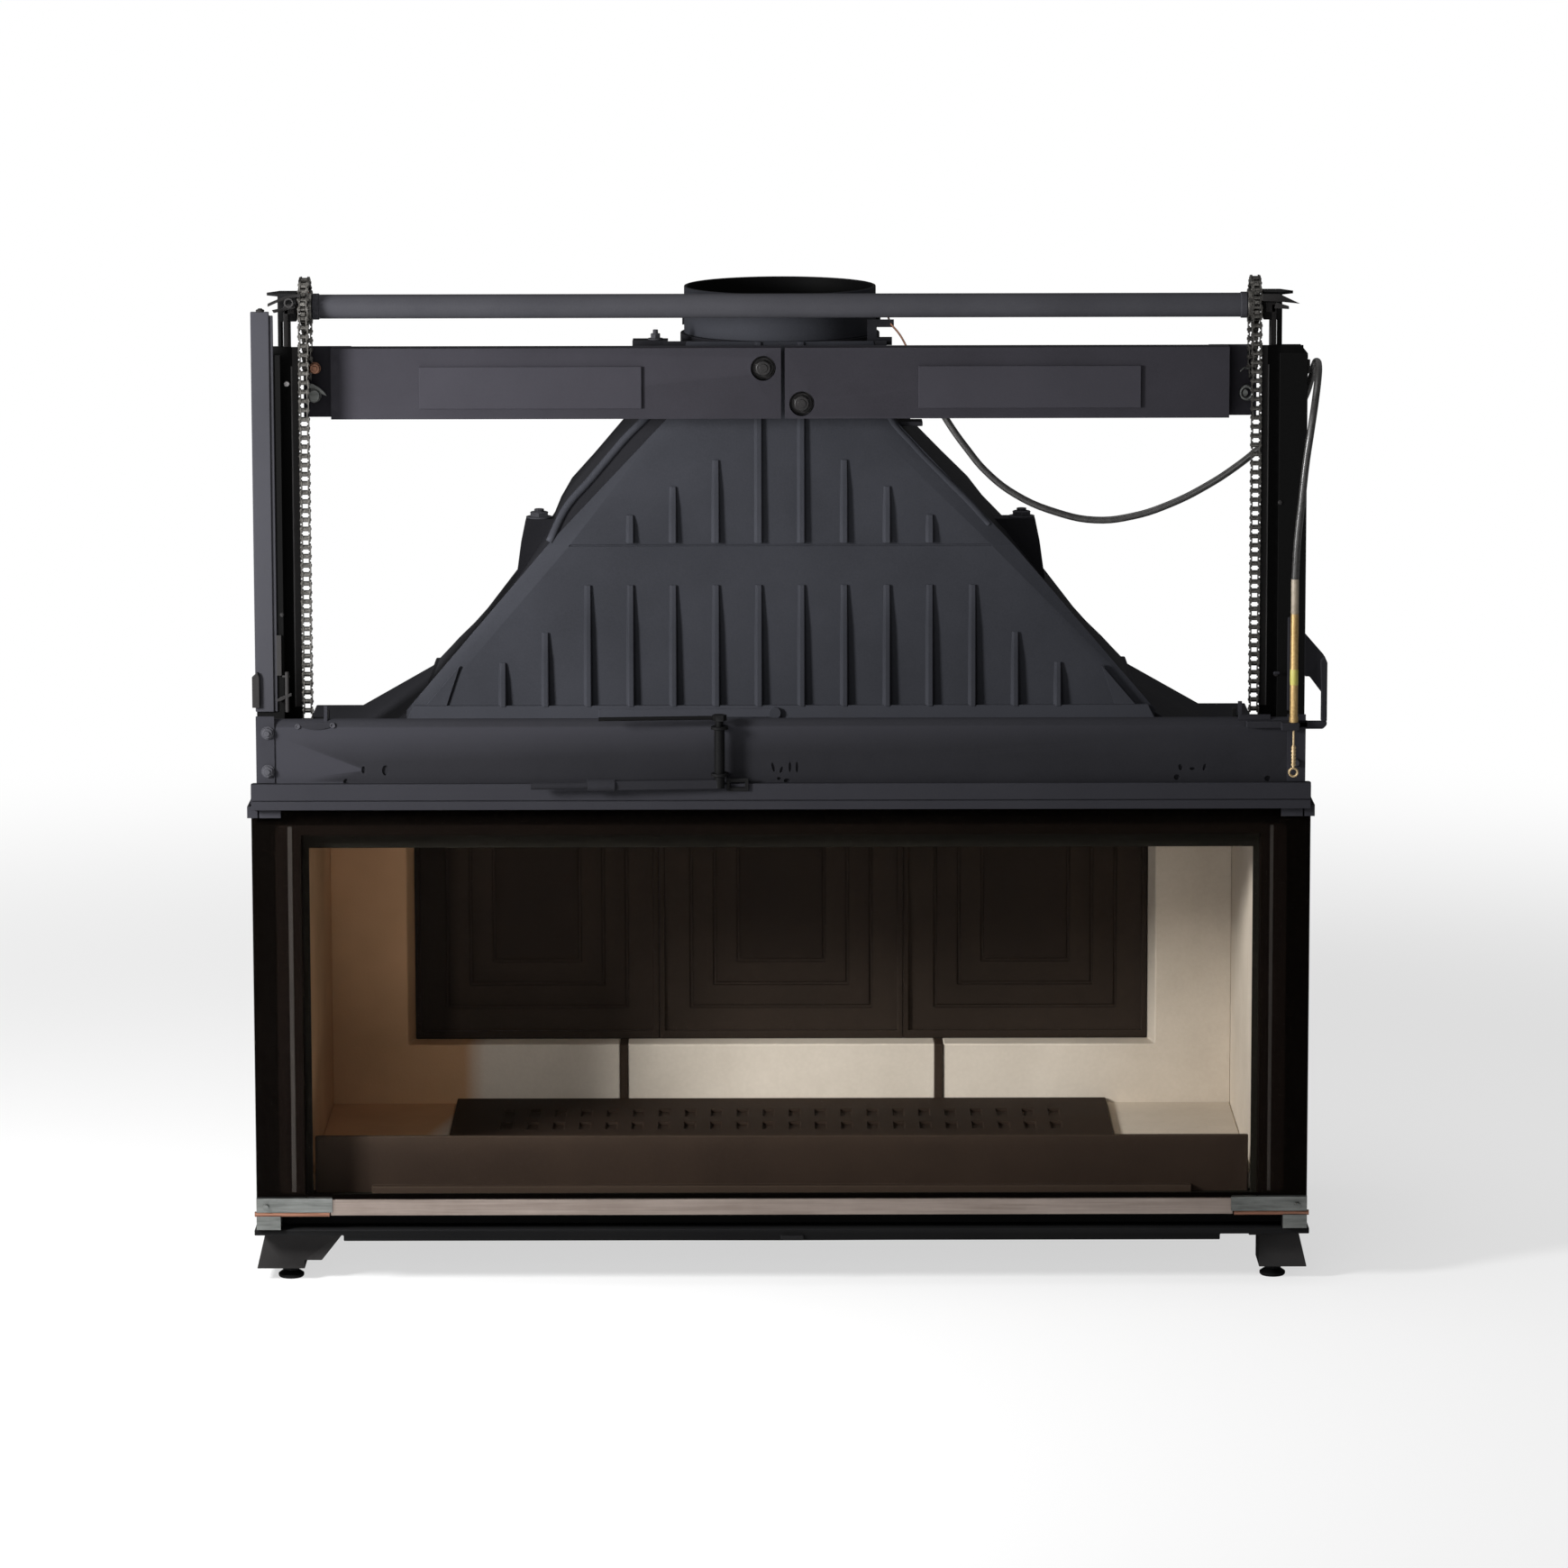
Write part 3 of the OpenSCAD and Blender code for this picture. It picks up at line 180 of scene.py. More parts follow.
def bumpFrom(tree, shader, height, strength, distance):
    bump = addNode(tree, "Bump", {"Strength": strength, "Distance": distance, "Height": height})
    tree.links.new(bump.outputs["Normal"], shader.inputs["Normal"])


def paintMaterial(name, dark, light, roughness, sheen=0.25, grain=900.0, bumpHeight=0.0001, wear=None):
    # stove paint: slow clouding, fine orange-peel grain, a little rubbing at the edges
    mat, tree, shader = startMaterial(name)
    place = objectPlace(tree)
    cloud = grainNoise(tree, place, 9.0, 5.0)
    fine = grainNoise(tree, place, grain, 2.0, 0.5)
    base = twoTone(tree, cloud, dark, light, 0.3, 0.72)
    base = mixColour(tree, 0.35, base, twoTone(tree, fine, dark, light))
    coat(tree, shader, base, rangeMap(tree, cloud, roughness - 0.05, roughness + 0.07), sheen, wear)
    bumpFrom(tree, shader, fine, 0.35, bumpHeight)
    return mat


def metalMaterial(name, dark, light, roughness, stretch=(1, 1, 1), scale=220.0, metal=1.0, spread=0.1):
    # bare or plated metal with drawn streaks
    mat, tree, shader = startMaterial(name)
    streak = grainNoise(tree, objectPlace(tree, Scale=stretch), scale)
    cloud = grainNoise(tree, objectPlace(tree), 26.0)
    base = mixColour(tree, 0.3, twoTone(tree, streak, dark, light), twoTone(tree, cloud, dark, light))
    coat(tree, shader, base, rangeMap(tree, streak, roughness - spread / 2, roughness + spread))
    shader.inputs["Metallic"].default_value = metal
    bumpFrom(tree, shader, streak, 0.2, 0.00008)
    return mat


def castMaterial(name, dark, light, roughness, sheen=0.25, wear=None, shade=None, shadowColour=(12, 9, 8)):
    # cast iron under thin paint: sandy skin with shallow pits
    mat, tree, shader = startMaterial(name)
    place = objectPlace(tree)
    cloud = grainNoise(tree, place, 7.0, 5.0)
    sand = grainNoise(tree, place, 520.0, 3.0, 0.65)
    base = twoTone(tree, cloud, dark, light, 0.28, 0.74)
    base = mixColour(tree, 0.3, base, twoTone(tree, sand, dark, light))
    if shade:
        # painted shadow: darker towards one end, where the recess edge shades it
        shadowAmount = rangeMap(tree, alongAxis(tree, place, "X"), 0.62, 0.0, *shade)
        base = mixColour(tree, shadowAmount, base, linear(shadowColour))
    coat(tree, shader, base, rangeMap(tree, cloud, roughness - 0.05, roughness + 0.08), sheen, wear)
    pitDepth = 0.25
    skin = calculate(tree, 'MULTIPLY_ADD', spots(tree, place, 160.0), pitDepth, sand)
    bumpFrom(tree, shader, skin, 0.5, 0.00022)
    return mat


def boardMaterial(name, dark, light, shadowPale, shadowDeep, rightShadeTint):
    # pressed vermiculite: flakes and dents, a painted warm shadow on the left, painted shade darkening towards
    # the right
    mat, tree, shader = startMaterial(name)
    place = objectPlace(tree)
    unshadowed = twoTone(tree, grainNoise(tree, place, 11.0, 6.0, 0.62), dark, light, 0.25, 0.75)
    unshadowed = mixColour(tree, 0.2, unshadowed, twoTone(tree, spots(tree, place, 240.0), light, dark, 0.1, 0.8))
    # painted shadow: warm brown tones standing for the left jamb's shadow on the board
    shadowTone = twoTone(tree, grainNoise(tree, place, 5.0), shadowDeep, shadowPale)
    # the painted shadow ends along a line that slants back, metres from the middle
    backSlant, fullShadowTo, unshadowedFrom = -0.24, -0.395, -0.372
    slant = calculate(tree, 'MULTIPLY_ADD', alongAxis(tree, place, "Y"), backSlant, alongAxis(tree, place, "X"))
    shadowed = mixColour(tree, rangeMap(tree, slant, 1.0, 0.0, fullShadowTo, unshadowedFrom), unshadowed, shadowTone)
    # painted shade: the board darkens towards the right, multiplied by the shade tint
    rightShadeFrom, rightShadeFull = 0.30, 0.46
    rightShade = rangeMap(tree, alongAxis(tree, place, "X"), 0.0, 1.0, rightShadeFrom, rightShadeFull)
    coat(tree, shader, mixColour(tree, rightShade, shadowed, linear(rightShadeTint), 'MULTIPLY'), 0.92, 0.2)
    bumpFrom(tree, shader, grainNoise(tree, place, 420.0, 3.0), 0.5, 0.0003)
    return mat


def ropeMaterial(name, dark, light, turn=0.7):
    # knitted glass rope: two crossing rows of stitches
    mat, tree, shader = startMaterial(name)
    place = objectPlace(tree)
    rows = []
    for lean in (turn, -turn):
        turned = addNode(tree, "Mapping", {"Vector": place, "Rotation": (0, lean, 0)}).outputs["Vector"]
        wave = addNode(tree, "TexWave", {"Vector": turned, "Scale": 190.0, "Distortion": 0.6})
        rows.append(wave.outputs["Fac"])
    weave = calculate(tree, 'MAXIMUM', *rows)
    coat(tree, shader, twoTone(tree, weave, dark, light, 0.3, 0.85), 0.9)
    bumpFrom(tree, shader, weave, 0.6, 0.0005)
    return mat


def glassMaterial(name, tint, alpha):
    # ceramic glass: faint brown, smooth, a trace of wipe marks in its gloss
    mat, tree, shader = startMaterial(name)
    smear = grainNoise(tree, objectPlace(tree, Scale=(1, 1, 0.35)), 14.0)
    coat(tree, shader, linear(tint), rangeMap(tree, smear, 0.04, 0.11), 0.03)
    shader.inputs["Alpha"].default_value = alpha
    mat.surface_render_method = 'BLENDED'
    return mat


even, alongX, alongZ = (1, 1, 1), (0.05, 1, 1), (1, 1, 0.2)
materials = {
    # paints and castings: dark and light of the clouding, roughness, highlight, rubbed edges
    "charcoal": paintMaterial("charcoalPaint", (27, 27, 30), (34, 34, 37), 0.65, 0.03, wear=(48, 48, 53)),
    "strip": paintMaterial("stripPaint", (39, 39, 42), (48, 48, 52), 0.65, 0.03, wear=(62, 62, 67)),
    "black": paintMaterial("blackPaint", (7, 7, 8), (13, 13, 13), 0.6, 0.06, wear=(34, 34, 35)),
    # darker than the black paint: painted shade for the shadowed column channels
    "column": paintMaterial("columnShadePaint", (3, 3, 3), (7, 7, 7), 0.65, 0.03, wear=(20, 20, 20)),
    "rail": paintMaterial("railPaint", (22, 21, 21), (34, 33, 33), 0.6, 0.04, wear=(58, 57, 57)),
    # a lighter copy of the rail paint: painted highlight on the folded edges
    "railEdgeHighlight": paintMaterial("railEdgeHighlightPaint", (60, 59, 59), (84, 83, 83), 0.5, 0.15),
    "beam": paintMaterial("beamPaint", (37, 36, 40), (47, 46, 51), 0.65, 0.03, wear=(62, 61, 67)),
    "shaftPaint": paintMaterial("shaftPaint", (49, 49, 53), (60, 60, 64), 0.55, 0.05),
    "print": paintMaterial("glassPrint", (3, 2, 2), (6, 5, 4), 0.6, 0.0, 400.0, 0.00003),
    "cast": castMaterial("greyCasting", (38, 39, 43), (50, 51, 56), 0.7, 0.03, (64, 65, 71)),
    "castDark": castMaterial("darkCasting", (25, 25, 28), (35, 35, 38), 0.7, 0.03, (46, 46, 49)),
    "frameBrown": castMaterial("smokedFrame", (7, 4, 3), (14, 9, 6), 0.75, 0.02),
    "sealGrey": castMaterial("sealCasting", (18, 17, 13), (28, 26, 21), 0.7, 0.05),
    "fireIron": castMaterial("firedIron", (37, 28, 22), (52, 41, 33), 0.75, 0.08, (72, 60, 50)),
    # the fireback's shade paints the recess edge's shadow over its left end
    "fireback": castMaterial("firebackIron", (40, 33, 27), (56, 47, 40), 0.75, 0.08, (24, 18, 15),
                             shade=(-0.372, -0.356)),
    # metals: dark and light of the streaks, roughness, stretch and size of the streaks
    "stainless": metalMaterial("brushedStrip", (116, 105, 98), (144, 133, 126), 0.4, (0.03, 1, 1), 420.0),
    "zinc": metalMaterial("zincPlate", (128, 126, 126), (172, 170, 170), 0.38),
    "clampSteel": metalMaterial("clampSteel", (72, 74, 72), (118, 120, 118), 0.42, (0.08, 1, 1), 300.0),
    "darkBolt": metalMaterial("blackedBolt", (18, 17, 18), (38, 36, 36), 0.45, even, 300.0, 0.5),
    "chain": metalMaterial("chainSteel", (50, 48, 46), (120, 118, 114), 0.34, even, 600.0),
    "brass": metalMaterial("yellowPlate", (142, 114, 72), (186, 158, 106), 0.38, even, 500.0, 0.6),
    "copper": metalMaterial("copperedSteel", (104, 72, 58), (152, 114, 94), 0.38, even, 500.0),
    "rosePin": metalMaterial("rosePin", (96, 66, 54), (150, 110, 92), 0.32, alongX, 500.0),
    "crimp": metalMaterial("crimpBrass", (168, 144, 106), (212, 190, 152), 0.34, even, 700.0),
    "sheath": metalMaterial("sheathCover", (38, 37, 37), (58, 57, 56), 0.27, even, 160.0, 0.0, 0.06),
    "sleeve": metalMaterial("sleeveCover", (118, 108, 94), (150, 139, 124), 0.42, even, 200.0, 0.1),
    "tag": metalMaterial("tagBand", (140, 136, 58), (176, 168, 86), 0.5, alongZ, 300.0, 0.0),
    # board, ropes and glass
    # the board's third and fourth colours are painted shadow tones, the fifth a painted shade tint towards the
    # right
    "board": boardMaterial("vermiculiteBoard", (208, 197, 181), (228, 217, 201), (204, 161, 122),
                           (172, 136, 100), (222, 220, 218)),
    "rope": ropeMaterial("glassRope", (96, 78, 58), (140, 118, 92)),
    "gasket": ropeMaterial("tannedGasket", (19, 14, 11), (33, 26, 19)),
    "glass": glassMaterial("doorGlass", (16, 12, 9), 0.06),
}
print("materials made:", len(materials))


# mesh helpers
mergeWithin = 0.000004


def dress(obj, material):
    obj.data.materials.clear()
    obj.data.materials.append(materials[material])


def dressFaces(obj, material, test):
    # a second finish on the faces whose middle, in drawing millimetres, passes the test
    obj.data.materials.append(materials[material])
    index = len(obj.data.materials) - 1
    for face in obj.data.polygons:
        c = face.center
        if test(c.x * 1000, c.y * 1000 + drawingMid, c.z * 1000):
            face.material_index = index


def meshFrom(bm, name):
    mesh = bpy.data.meshes.new(name)
    bm.to_mesh(mesh)
    bm.free()
    return mesh


def finishPiece(name, bm, body, material, bevel=0.0, replaced=(), segments=2, angle=32, merge=True):
    # mesh to object, outward faces, soft edges, then onto its body
    if merge:
        bmesh.ops.remove_doubles(bm, verts=bm.verts, dist=mergeWithin)
    bmesh.ops.recalc_face_normals(bm, faces=bm.faces)
    mesh = meshFrom(bm, name)
    mesh.shade_smooth()
    mesh.set_sharp_from_angle(angle=radians(angle))
    obj = addObject(name, mesh)
    dress(obj, material)
    if bevel:
        softEdge(obj, bevel, segments)
    if body:
        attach(obj, body)
    if replaced:
        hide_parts(*replaced)
    return obj


def softEdge(obj, width, segments, angle=35):
    soft = obj.modifiers.new("softEdge", 'BEVEL')
    soft.limit_method = 'ANGLE'
    soft.angle_limit = radians(angle)
    soft.width = width
    soft.segments = segments
    soft.use_clamp_overlap = True
    soft.miter_outer = 'MITER_ARC'
    weighted = obj.modifiers.new("flatFaces", 'WEIGHTED_NORMAL')
    weighted.keep_sharp = True


def softened(nodeName, material, bevel, body):
    # a merged copy of a CAD node with its edges softened stands for the node
    bm = bmesh.new()
    bm.from_mesh(nodes[nodeName].data)
    bmesh.ops.remove_doubles(bm, verts=bm.verts, dist=mergeWithin)
    bmesh.ops.join_triangles(bm, faces=bm.faces, angle_face_threshold=radians(0.5),
                             angle_shape_threshold=radians(40))
    return finishPiece(nodeName + "Soft", bm, body, material, bevel, [nodeName])


def block(bm, low, high):
    made = bmesh.ops.create_cube(bm, size=1.0)["verts"]
    bmesh.ops.scale(bm, vec=high - low, verts=made)
    bmesh.ops.translate(bm, vec=(low + high) / 2, verts=made)


def box3(bm, x, y, z, side=1):  # a block from drawing millimetre ranges, X measured outwards on a side
    x = sorted((side * x[0], side * x[1]))
    block(bm, at(x[0], y[0], z[0]), at(x[1], y[1], z[1]))


def rod(bm, start, end, radius, segments=20, endRadius=None, caps=True):
    axis = end - start
    made = bmesh.ops.create_cone(bm, cap_ends=caps, segments=segments, radius1=radius,
                                 radius2=radius if endRadius is None else endRadius, depth=axis.length)["verts"]
    turn = up.rotation_difference(axis.normalized()).to_matrix()
    bmesh.ops.rotate(bm, cent=(0, 0, 0), matrix=turn, verts=made)
    bmesh.ops.translate(bm, vec=(start + end) / 2, verts=made)


def rods(bm, rows):  # start and end in drawing millimetres, radius, segments, and the end's radius
    for start, end, *rest in rows:
        rod(bm, at(*start), at(*end), *rest)


def prism(bm, corners, thickness):
    # a flat outline given a thickness along a vector
    face = bm.faces.new([bm.verts.new(c) for c in corners])
    grown = bmesh.ops.extrude_face_region(bm, geom=[face])
    top = [g for g in grown["geom"] if isinstance(g, bmesh.types.BMVert)]
    bmesh.ops.translate(bm, vec=thickness, verts=top)


def plateXz(bm, outline, y, thick):  # outline in drawing X and z, at a depth
    prism(bm, [at(x, y, z) for x, z in outline], Vector((0, thick / 1000, 0)))


def plateYz(bm, outline, x, thick):
    prism(bm, [at(x, y, z) for y, z in outline], Vector((thick / 1000, 0, 0)))


def ring(bm, centre, axis, outer, tube, turns=32, sides=10):
    # a round section spun about an axis
    side = axis.orthogonal().normalized()
    start = bmesh.ops.create_circle(bm, cap_ends=False, segments=sides, radius=tube)["verts"]
    basis = Matrix((side, axis, side.cross(axis))).transposed()
    bmesh.ops.rotate(bm, cent=(0, 0, 0), matrix=basis, verts=start)
    bmesh.ops.translate(bm, vec=centre + side * outer, verts=start)
    edges = list(dict.fromkeys(e for v in start for e in v.link_edges))
    bmesh.ops.spin(bm, geom=start + edges, cent=centre, axis=axis, angle=2 * pi, steps=turns, use_merge=True)


def lathe(bm, profile, centre, axis, turns=48):
    # a closed profile of (radius, height) spun about an axis
    side = axis.orthogonal().normalized()
    made = [bm.verts.new(centre + side * r + axis * h) for r, h in profile]
    edges = [bm.edges.new((made[i], made[(i + 1) % len(made)])) for i in range(len(made))]
    bmesh.ops.spin(bm, geom=made + edges, cent=centre, axis=axis, angle=2 * pi, steps=turns, use_merge=True)


def boltHead(bm, low, axis, acrossFlats, height, washer=0.0, stud=0.0, washerThick=0.0016, threadTurns=4):
    # washer, hexagon with a turned top, and the end of the thread
    if washer:
        rod(bm, low, low + axis * washerThick, washer / 2, 28)
        low = low + axis * washerThick
    radius = acrossFlats / 2 / cos(radians(30))
    rod(bm, low, low + axis * height * 0.86, radius, 6)
    rod(bm, low + axis * height * 0.8, low + axis * height, radius * 0.94, 24, radius * 0.8)
    if stud:
        top, step = low + axis * height, stud / threadTurns
        for k in range(threadTurns):
            rod(bm, top + axis * step * k, top + axis * step * (k + 1), acrossFlats * 0.3, 14,
                acrossFlats * 0.26)


def joinMesh(bm, mesh, matrix):
    before = len(bm.verts)
    bm.from_mesh(mesh)
    bm.verts.ensure_lookup_table()
    bmesh.ops.transform(bm, matrix=matrix, verts=bm.verts[before:])


# damper cable
cableSet = {
    "diameter": 0.0075, "start": 136, "reach": 0.9911, "slack": 1.006,
    "route": [
        (136, 180, 964), (144, 178, 948), (155, 168, 928), (167, 160, 907), (180, 157, 886),
        (196, 157, 864), (216, 157, 840), (248, 157, 815), (292, 157, 796), (332, 157, 788),
        (372, 157, 792), (412, 157, 805), (450, 157, 824), (482, 156, 845), (508, 155, 866),
        (533, 153, 888), (550, 147, 914), (557, 130, 940), (558, 104, 957), (558, 72, 964),
        (557, 42, 962), (554, 15, 952), (550, -4, 933), (545, -13, 903), (540, -14, 868),
        (536, -14, 828), (532, -14, 788), (530, -14, 748.4)],
}


def cableLine(name, points, radius, material, resolution=5):
    line = bpy.data.curves.new(name, 'CURVE')
    line.dimensions = '3D'
    line.resolution_u = resolution
    line.bevel_depth = radius
    line.bevel_resolution = 4
    line.use_fill_caps = True
    spline = line.splines.new('BEZIER')
    spline.bezier_points.add(len(points) - 1)
    for knot, p in zip(spline.bezier_points, points):
        knot.co = p
        knot.handle_left_type = knot.handle_right_type = 'AUTO'
    obj = addObject(name, line)
    dress(obj, material)
    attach(obj, "frame")
    return obj


cablePoints = [at(cableSet["start"] + (x - cableSet["start"]) * cableSet["reach"], y, z)
               for x, y, z in cableSet["route"]]
cable = cableLine("damperCable", cablePoints, cableSet["diameter"] / 2, "sheath")
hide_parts("cable_sheath")


# sleeve over the cable's lower end, its label band, and the ferrules
sleeveSet = {"x": 526.5, "y": -14, "foot": 601, "bandLow": 640, "goldTop": 713.6, "top": 748.4,
             "footRadius": 0.0046, "goldRadius": 0.0041, "greyRadius": 0.00395, "ridge": 0.0004,
             "band": [(0.00411, 0), (0.00428, 0.0004), (0.00428, 0.0156), (0.00411, 0.016)]}


def cableSleeve(s):
    def mid(z):
        return at(s["x"], s["y"], z)

    bm = bmesh.new()
    foot, join, gold, grey = s["foot"], s["goldTop"], s["goldRadius"], s["greyRadius"]
    rod(bm, mid(foot), mid(foot + 6), s["footRadius"], 24)
    rod(bm, mid(foot + 6), mid(join - 4), gold, 28, caps=False)
    rod(bm, mid(join - 4), mid(join), gold, 28, gold - 0.0002)
    for k in range(3):
        ring(bm, mid(foot + 9 + 3.2 * k), up, gold - 0.00005, s["ridge"], 28, 6)
    finishPiece("sleeveGold", bm, "frame", "brass", 0.0002, ["cable_sleeve"])
    bm = bmesh.new()
    rod(bm, mid(join), mid(s["top"] - 3), grey, 28, caps=False)
    rod(bm, mid(s["top"] - 3), mid(s["top"] + 1), grey, 28, grey - 0.00015)
    ring(bm, mid(join + 2), up, grey - 0.00005, s["ridge"], 28, 6)
    finishPiece("sleeveGrey", bm, "frame", "sleeve", 0.0002)
    bm = bmesh.new()
    lathe(bm, s["band"], mid(s["bandLow"]), up, 28)
    finishPiece("sleeveBand", bm, "frame", "tag")


cableSleeve(sleeveSet)

# inner wire: ridged crimp, ring, and the free wire between cable and crank
wireSet = {
    "x": 526.5, "y": -14, "ring": 549.5, "crimpLow": 555, "crimpHigh": 577, "wireTop": 650, "wireRadius": 0.0012,
    "freeRadius": 0.0011, "free": [(136, 180, 962), (133, 184, 968), (126, 194, 980), (116, 205.5, 991)],
    "crank": ((116, 205.5, 990.4), (111, 272, 1007.5)), "eye": (111, 275, 1009), "eyeRadius": 0.0036,
}


def pullWire(s):
    def mid(z):
        return at(s["x"], s["y"], z)

    bm = bmesh.new()
    rod(bm, mid(s["crimpHigh"] - 2), mid(s["wireTop"]), s["wireRadius"], 12)
    for k in range(6):
        low = s["crimpLow"] + 1 + k * 3.5
        rod(bm, mid(low), mid(low + 2.2), 0.0026, 16)
        rod(bm, mid(low + 2.2), mid(low + 3.5), 0.0019, 16)
    rod(bm, mid(s["crimpLow"] - 1), mid(s["crimpLow"] + 1), 0.0015, 12)
    ring(bm, mid(s["ring"] - 0.6), back, 0.0042, 0.0013)
    finishPiece("pullRing", bm, "pull", "crimp", replaced=["pull_wire"])


pullWire(wireSet)
cableLine("innerWire", [at(*p) for p in wireSet["free"]], wireSet["freeRadius"], "copper", 4)
bm = bmesh.new()
rod(bm, *(at(*p) for p in wireSet["crank"]), wireSet["freeRadius"], 10)
bmesh.ops.subdivide_edges(bm, edges=[e for e in bm.edges if e.calc_length() > 0.03], cuts=8)
ring(bm, at(*wireSet["eye"]), across, wireSet["eyeRadius"], wireSet["freeRadius"], 20, 8)
crankWire = finishPiece("crankWire", bm, None, "copper")
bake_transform(crankWire)
print("cable fittings made")

# roller chains: one link mesh of each kind, laid along the three stretches
chainSet = {
    "pitch": 9.525, "x": 492, "shaftY": 102, "shaftZ": 1020, "radius": 27.43, "front": 44, "rear": 8,
    "plateHalf": 4.0, "plateThick": 0.9, "waist": 3.3,
    # where the plates lie, and the reach, radius and sides of the pins or rollers
    "outer": (4.7, 0.006, 0.0014, 8), "inner": (3.45, 0.0028, 0.0025, 10),
    "run": 428.6, "travel": 400, "stretchTop": 1012, "stretchFoot": 946,
}


def linkMesh(name, kind):
    # two waisted plates, with pins through the outer kind and rollers in the inner kind
    bm = bmesh.new()
    plateX, reach, radius, sides = chainSet[kind]
    pitch, half, thick = chainSet["pitch"] / 2, chainSet["plateHalf"], chainSet["plateThick"]
    outline = []
    for end in (1, -1):
        for k in range(5):
            a = radians(-10 + 50 * k) if end > 0 else radians(170 + 50 * k)
            outline.append((half * cos(a), end * pitch + half * sin(a)))
        outline.append((-end * chainSet["waist"], 0.0))
    for side in (-1, 1):
        x = side * plateX
        prism(bm, [Vector((x - thick / 2, y, z)) / 1000 for y, z in outline], across * thick / 1000)
    for end in (-1, 1):
        z = end * pitch / 1000
        rod(bm, Vector((-reach, 0, z)), Vector((reach, 0, z)), radius, sides)
    bmesh.ops.recalc_face_normals(bm, faces=bm.faces)
    return meshFrom(bm, name)


linkKinds = [linkMesh("linkInner", "inner"), linkMesh("linkOuter", "outer")]


def chainStretch(name, pins, firstKind, replaced):
    # links of both kinds by turns between neighbouring pins, on both sides of the insert
    bm = bmesh.new()
    for side in (-1, 1):
        for i, (a, b) in enumerate(zip(pins, pins[1:])):
            start, end = at(side * chainSet["x"], *a), at(side * chainSet["x"], *b)
            along = (end - start).normalized()
            basis = Matrix((across, along.cross(across), along)).transposed().to_4x4()
            joinMesh(bm, linkKinds[(i + firstKind) % 2], Matrix.Translation((start + end) / 2) @ basis)
    return finishPiece(name, bm, None, "chain", replaced=replaced, merge=False)


p, r, y, z = (chainSet[key] for key in ("pitch", "radius", "shaftY", "shaftZ"))
frontPins = [(y - r, z - i * p) for i in range(chainSet["front"] + 2)]
wrapPins = [(y - r * cos(radians(20 * k)), z + r * sin(radians(20 * k))) for k in range(10)]
rearPins = [(y + r, z - i * p) for i in range(chainSet["rear"] + 1)]
chainFront = chainStretch("chainFront", frontPins, 1, ["chain_fronts"])
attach(chainFront, "frame")
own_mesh(chainFront)
chainWrap = chainStretch("chainWrap", wrapPins, 0, ["chain_wraps"])
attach(chainWrap, "frame")
chainRear = chainStretch("chainRear", rearPins, 1, ["chain_rears"])
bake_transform(chainRear)
print("chains made:", len(frontPins) + len(wrapPins) + len(rearPins) - 3, "links a side")

# cast front of the dome: leaning plate, joint line, chamfered sides, foot lip and tapered ribs
domeSet = {
    "y": 158, "z": 560, "lean": 2.1, "thick": 8, "foot": 395, "joint": 245, "jointH": 201,
    "shoulder": 119, "shoulderH": 334, "top": 98, "height": 415.3, "band": 23,
    # rows of ribs: their tops, where they start, and how far they stand out there and at the top
    "ribStep": 45, "ribRows": [([159, 159, 159, 159, 159, 109, 77], 31, 8.0, 2.6),
                               ([415, 291, 263, 233], 204, 6.5, 2.2)],
    "ticket": [(352, 32), (374, 32), (338, 74)],
    # joint bar on the lip: X, depth and height, metres
    "bar": ((-0.192, -0.0095, 0.020), (-0.006, -0.0065, 0.0285)),
    "barEnd": ((-0.006, -0.012, 0.0245), (-0.006, -0.0055, 0.0245), 0.0062),
    "grooveWide": 2.0, "grooveInset": 0.0004, "grooveDeep": 0.0012,
    # across and down from the rib's middle, the second as a share of its height
    "ribSection": [(-5.4, None), (-3.2, 0.85), (-2.0, 1), (2.2, 1), (3.2, 0.9), (4.2, None)],
}


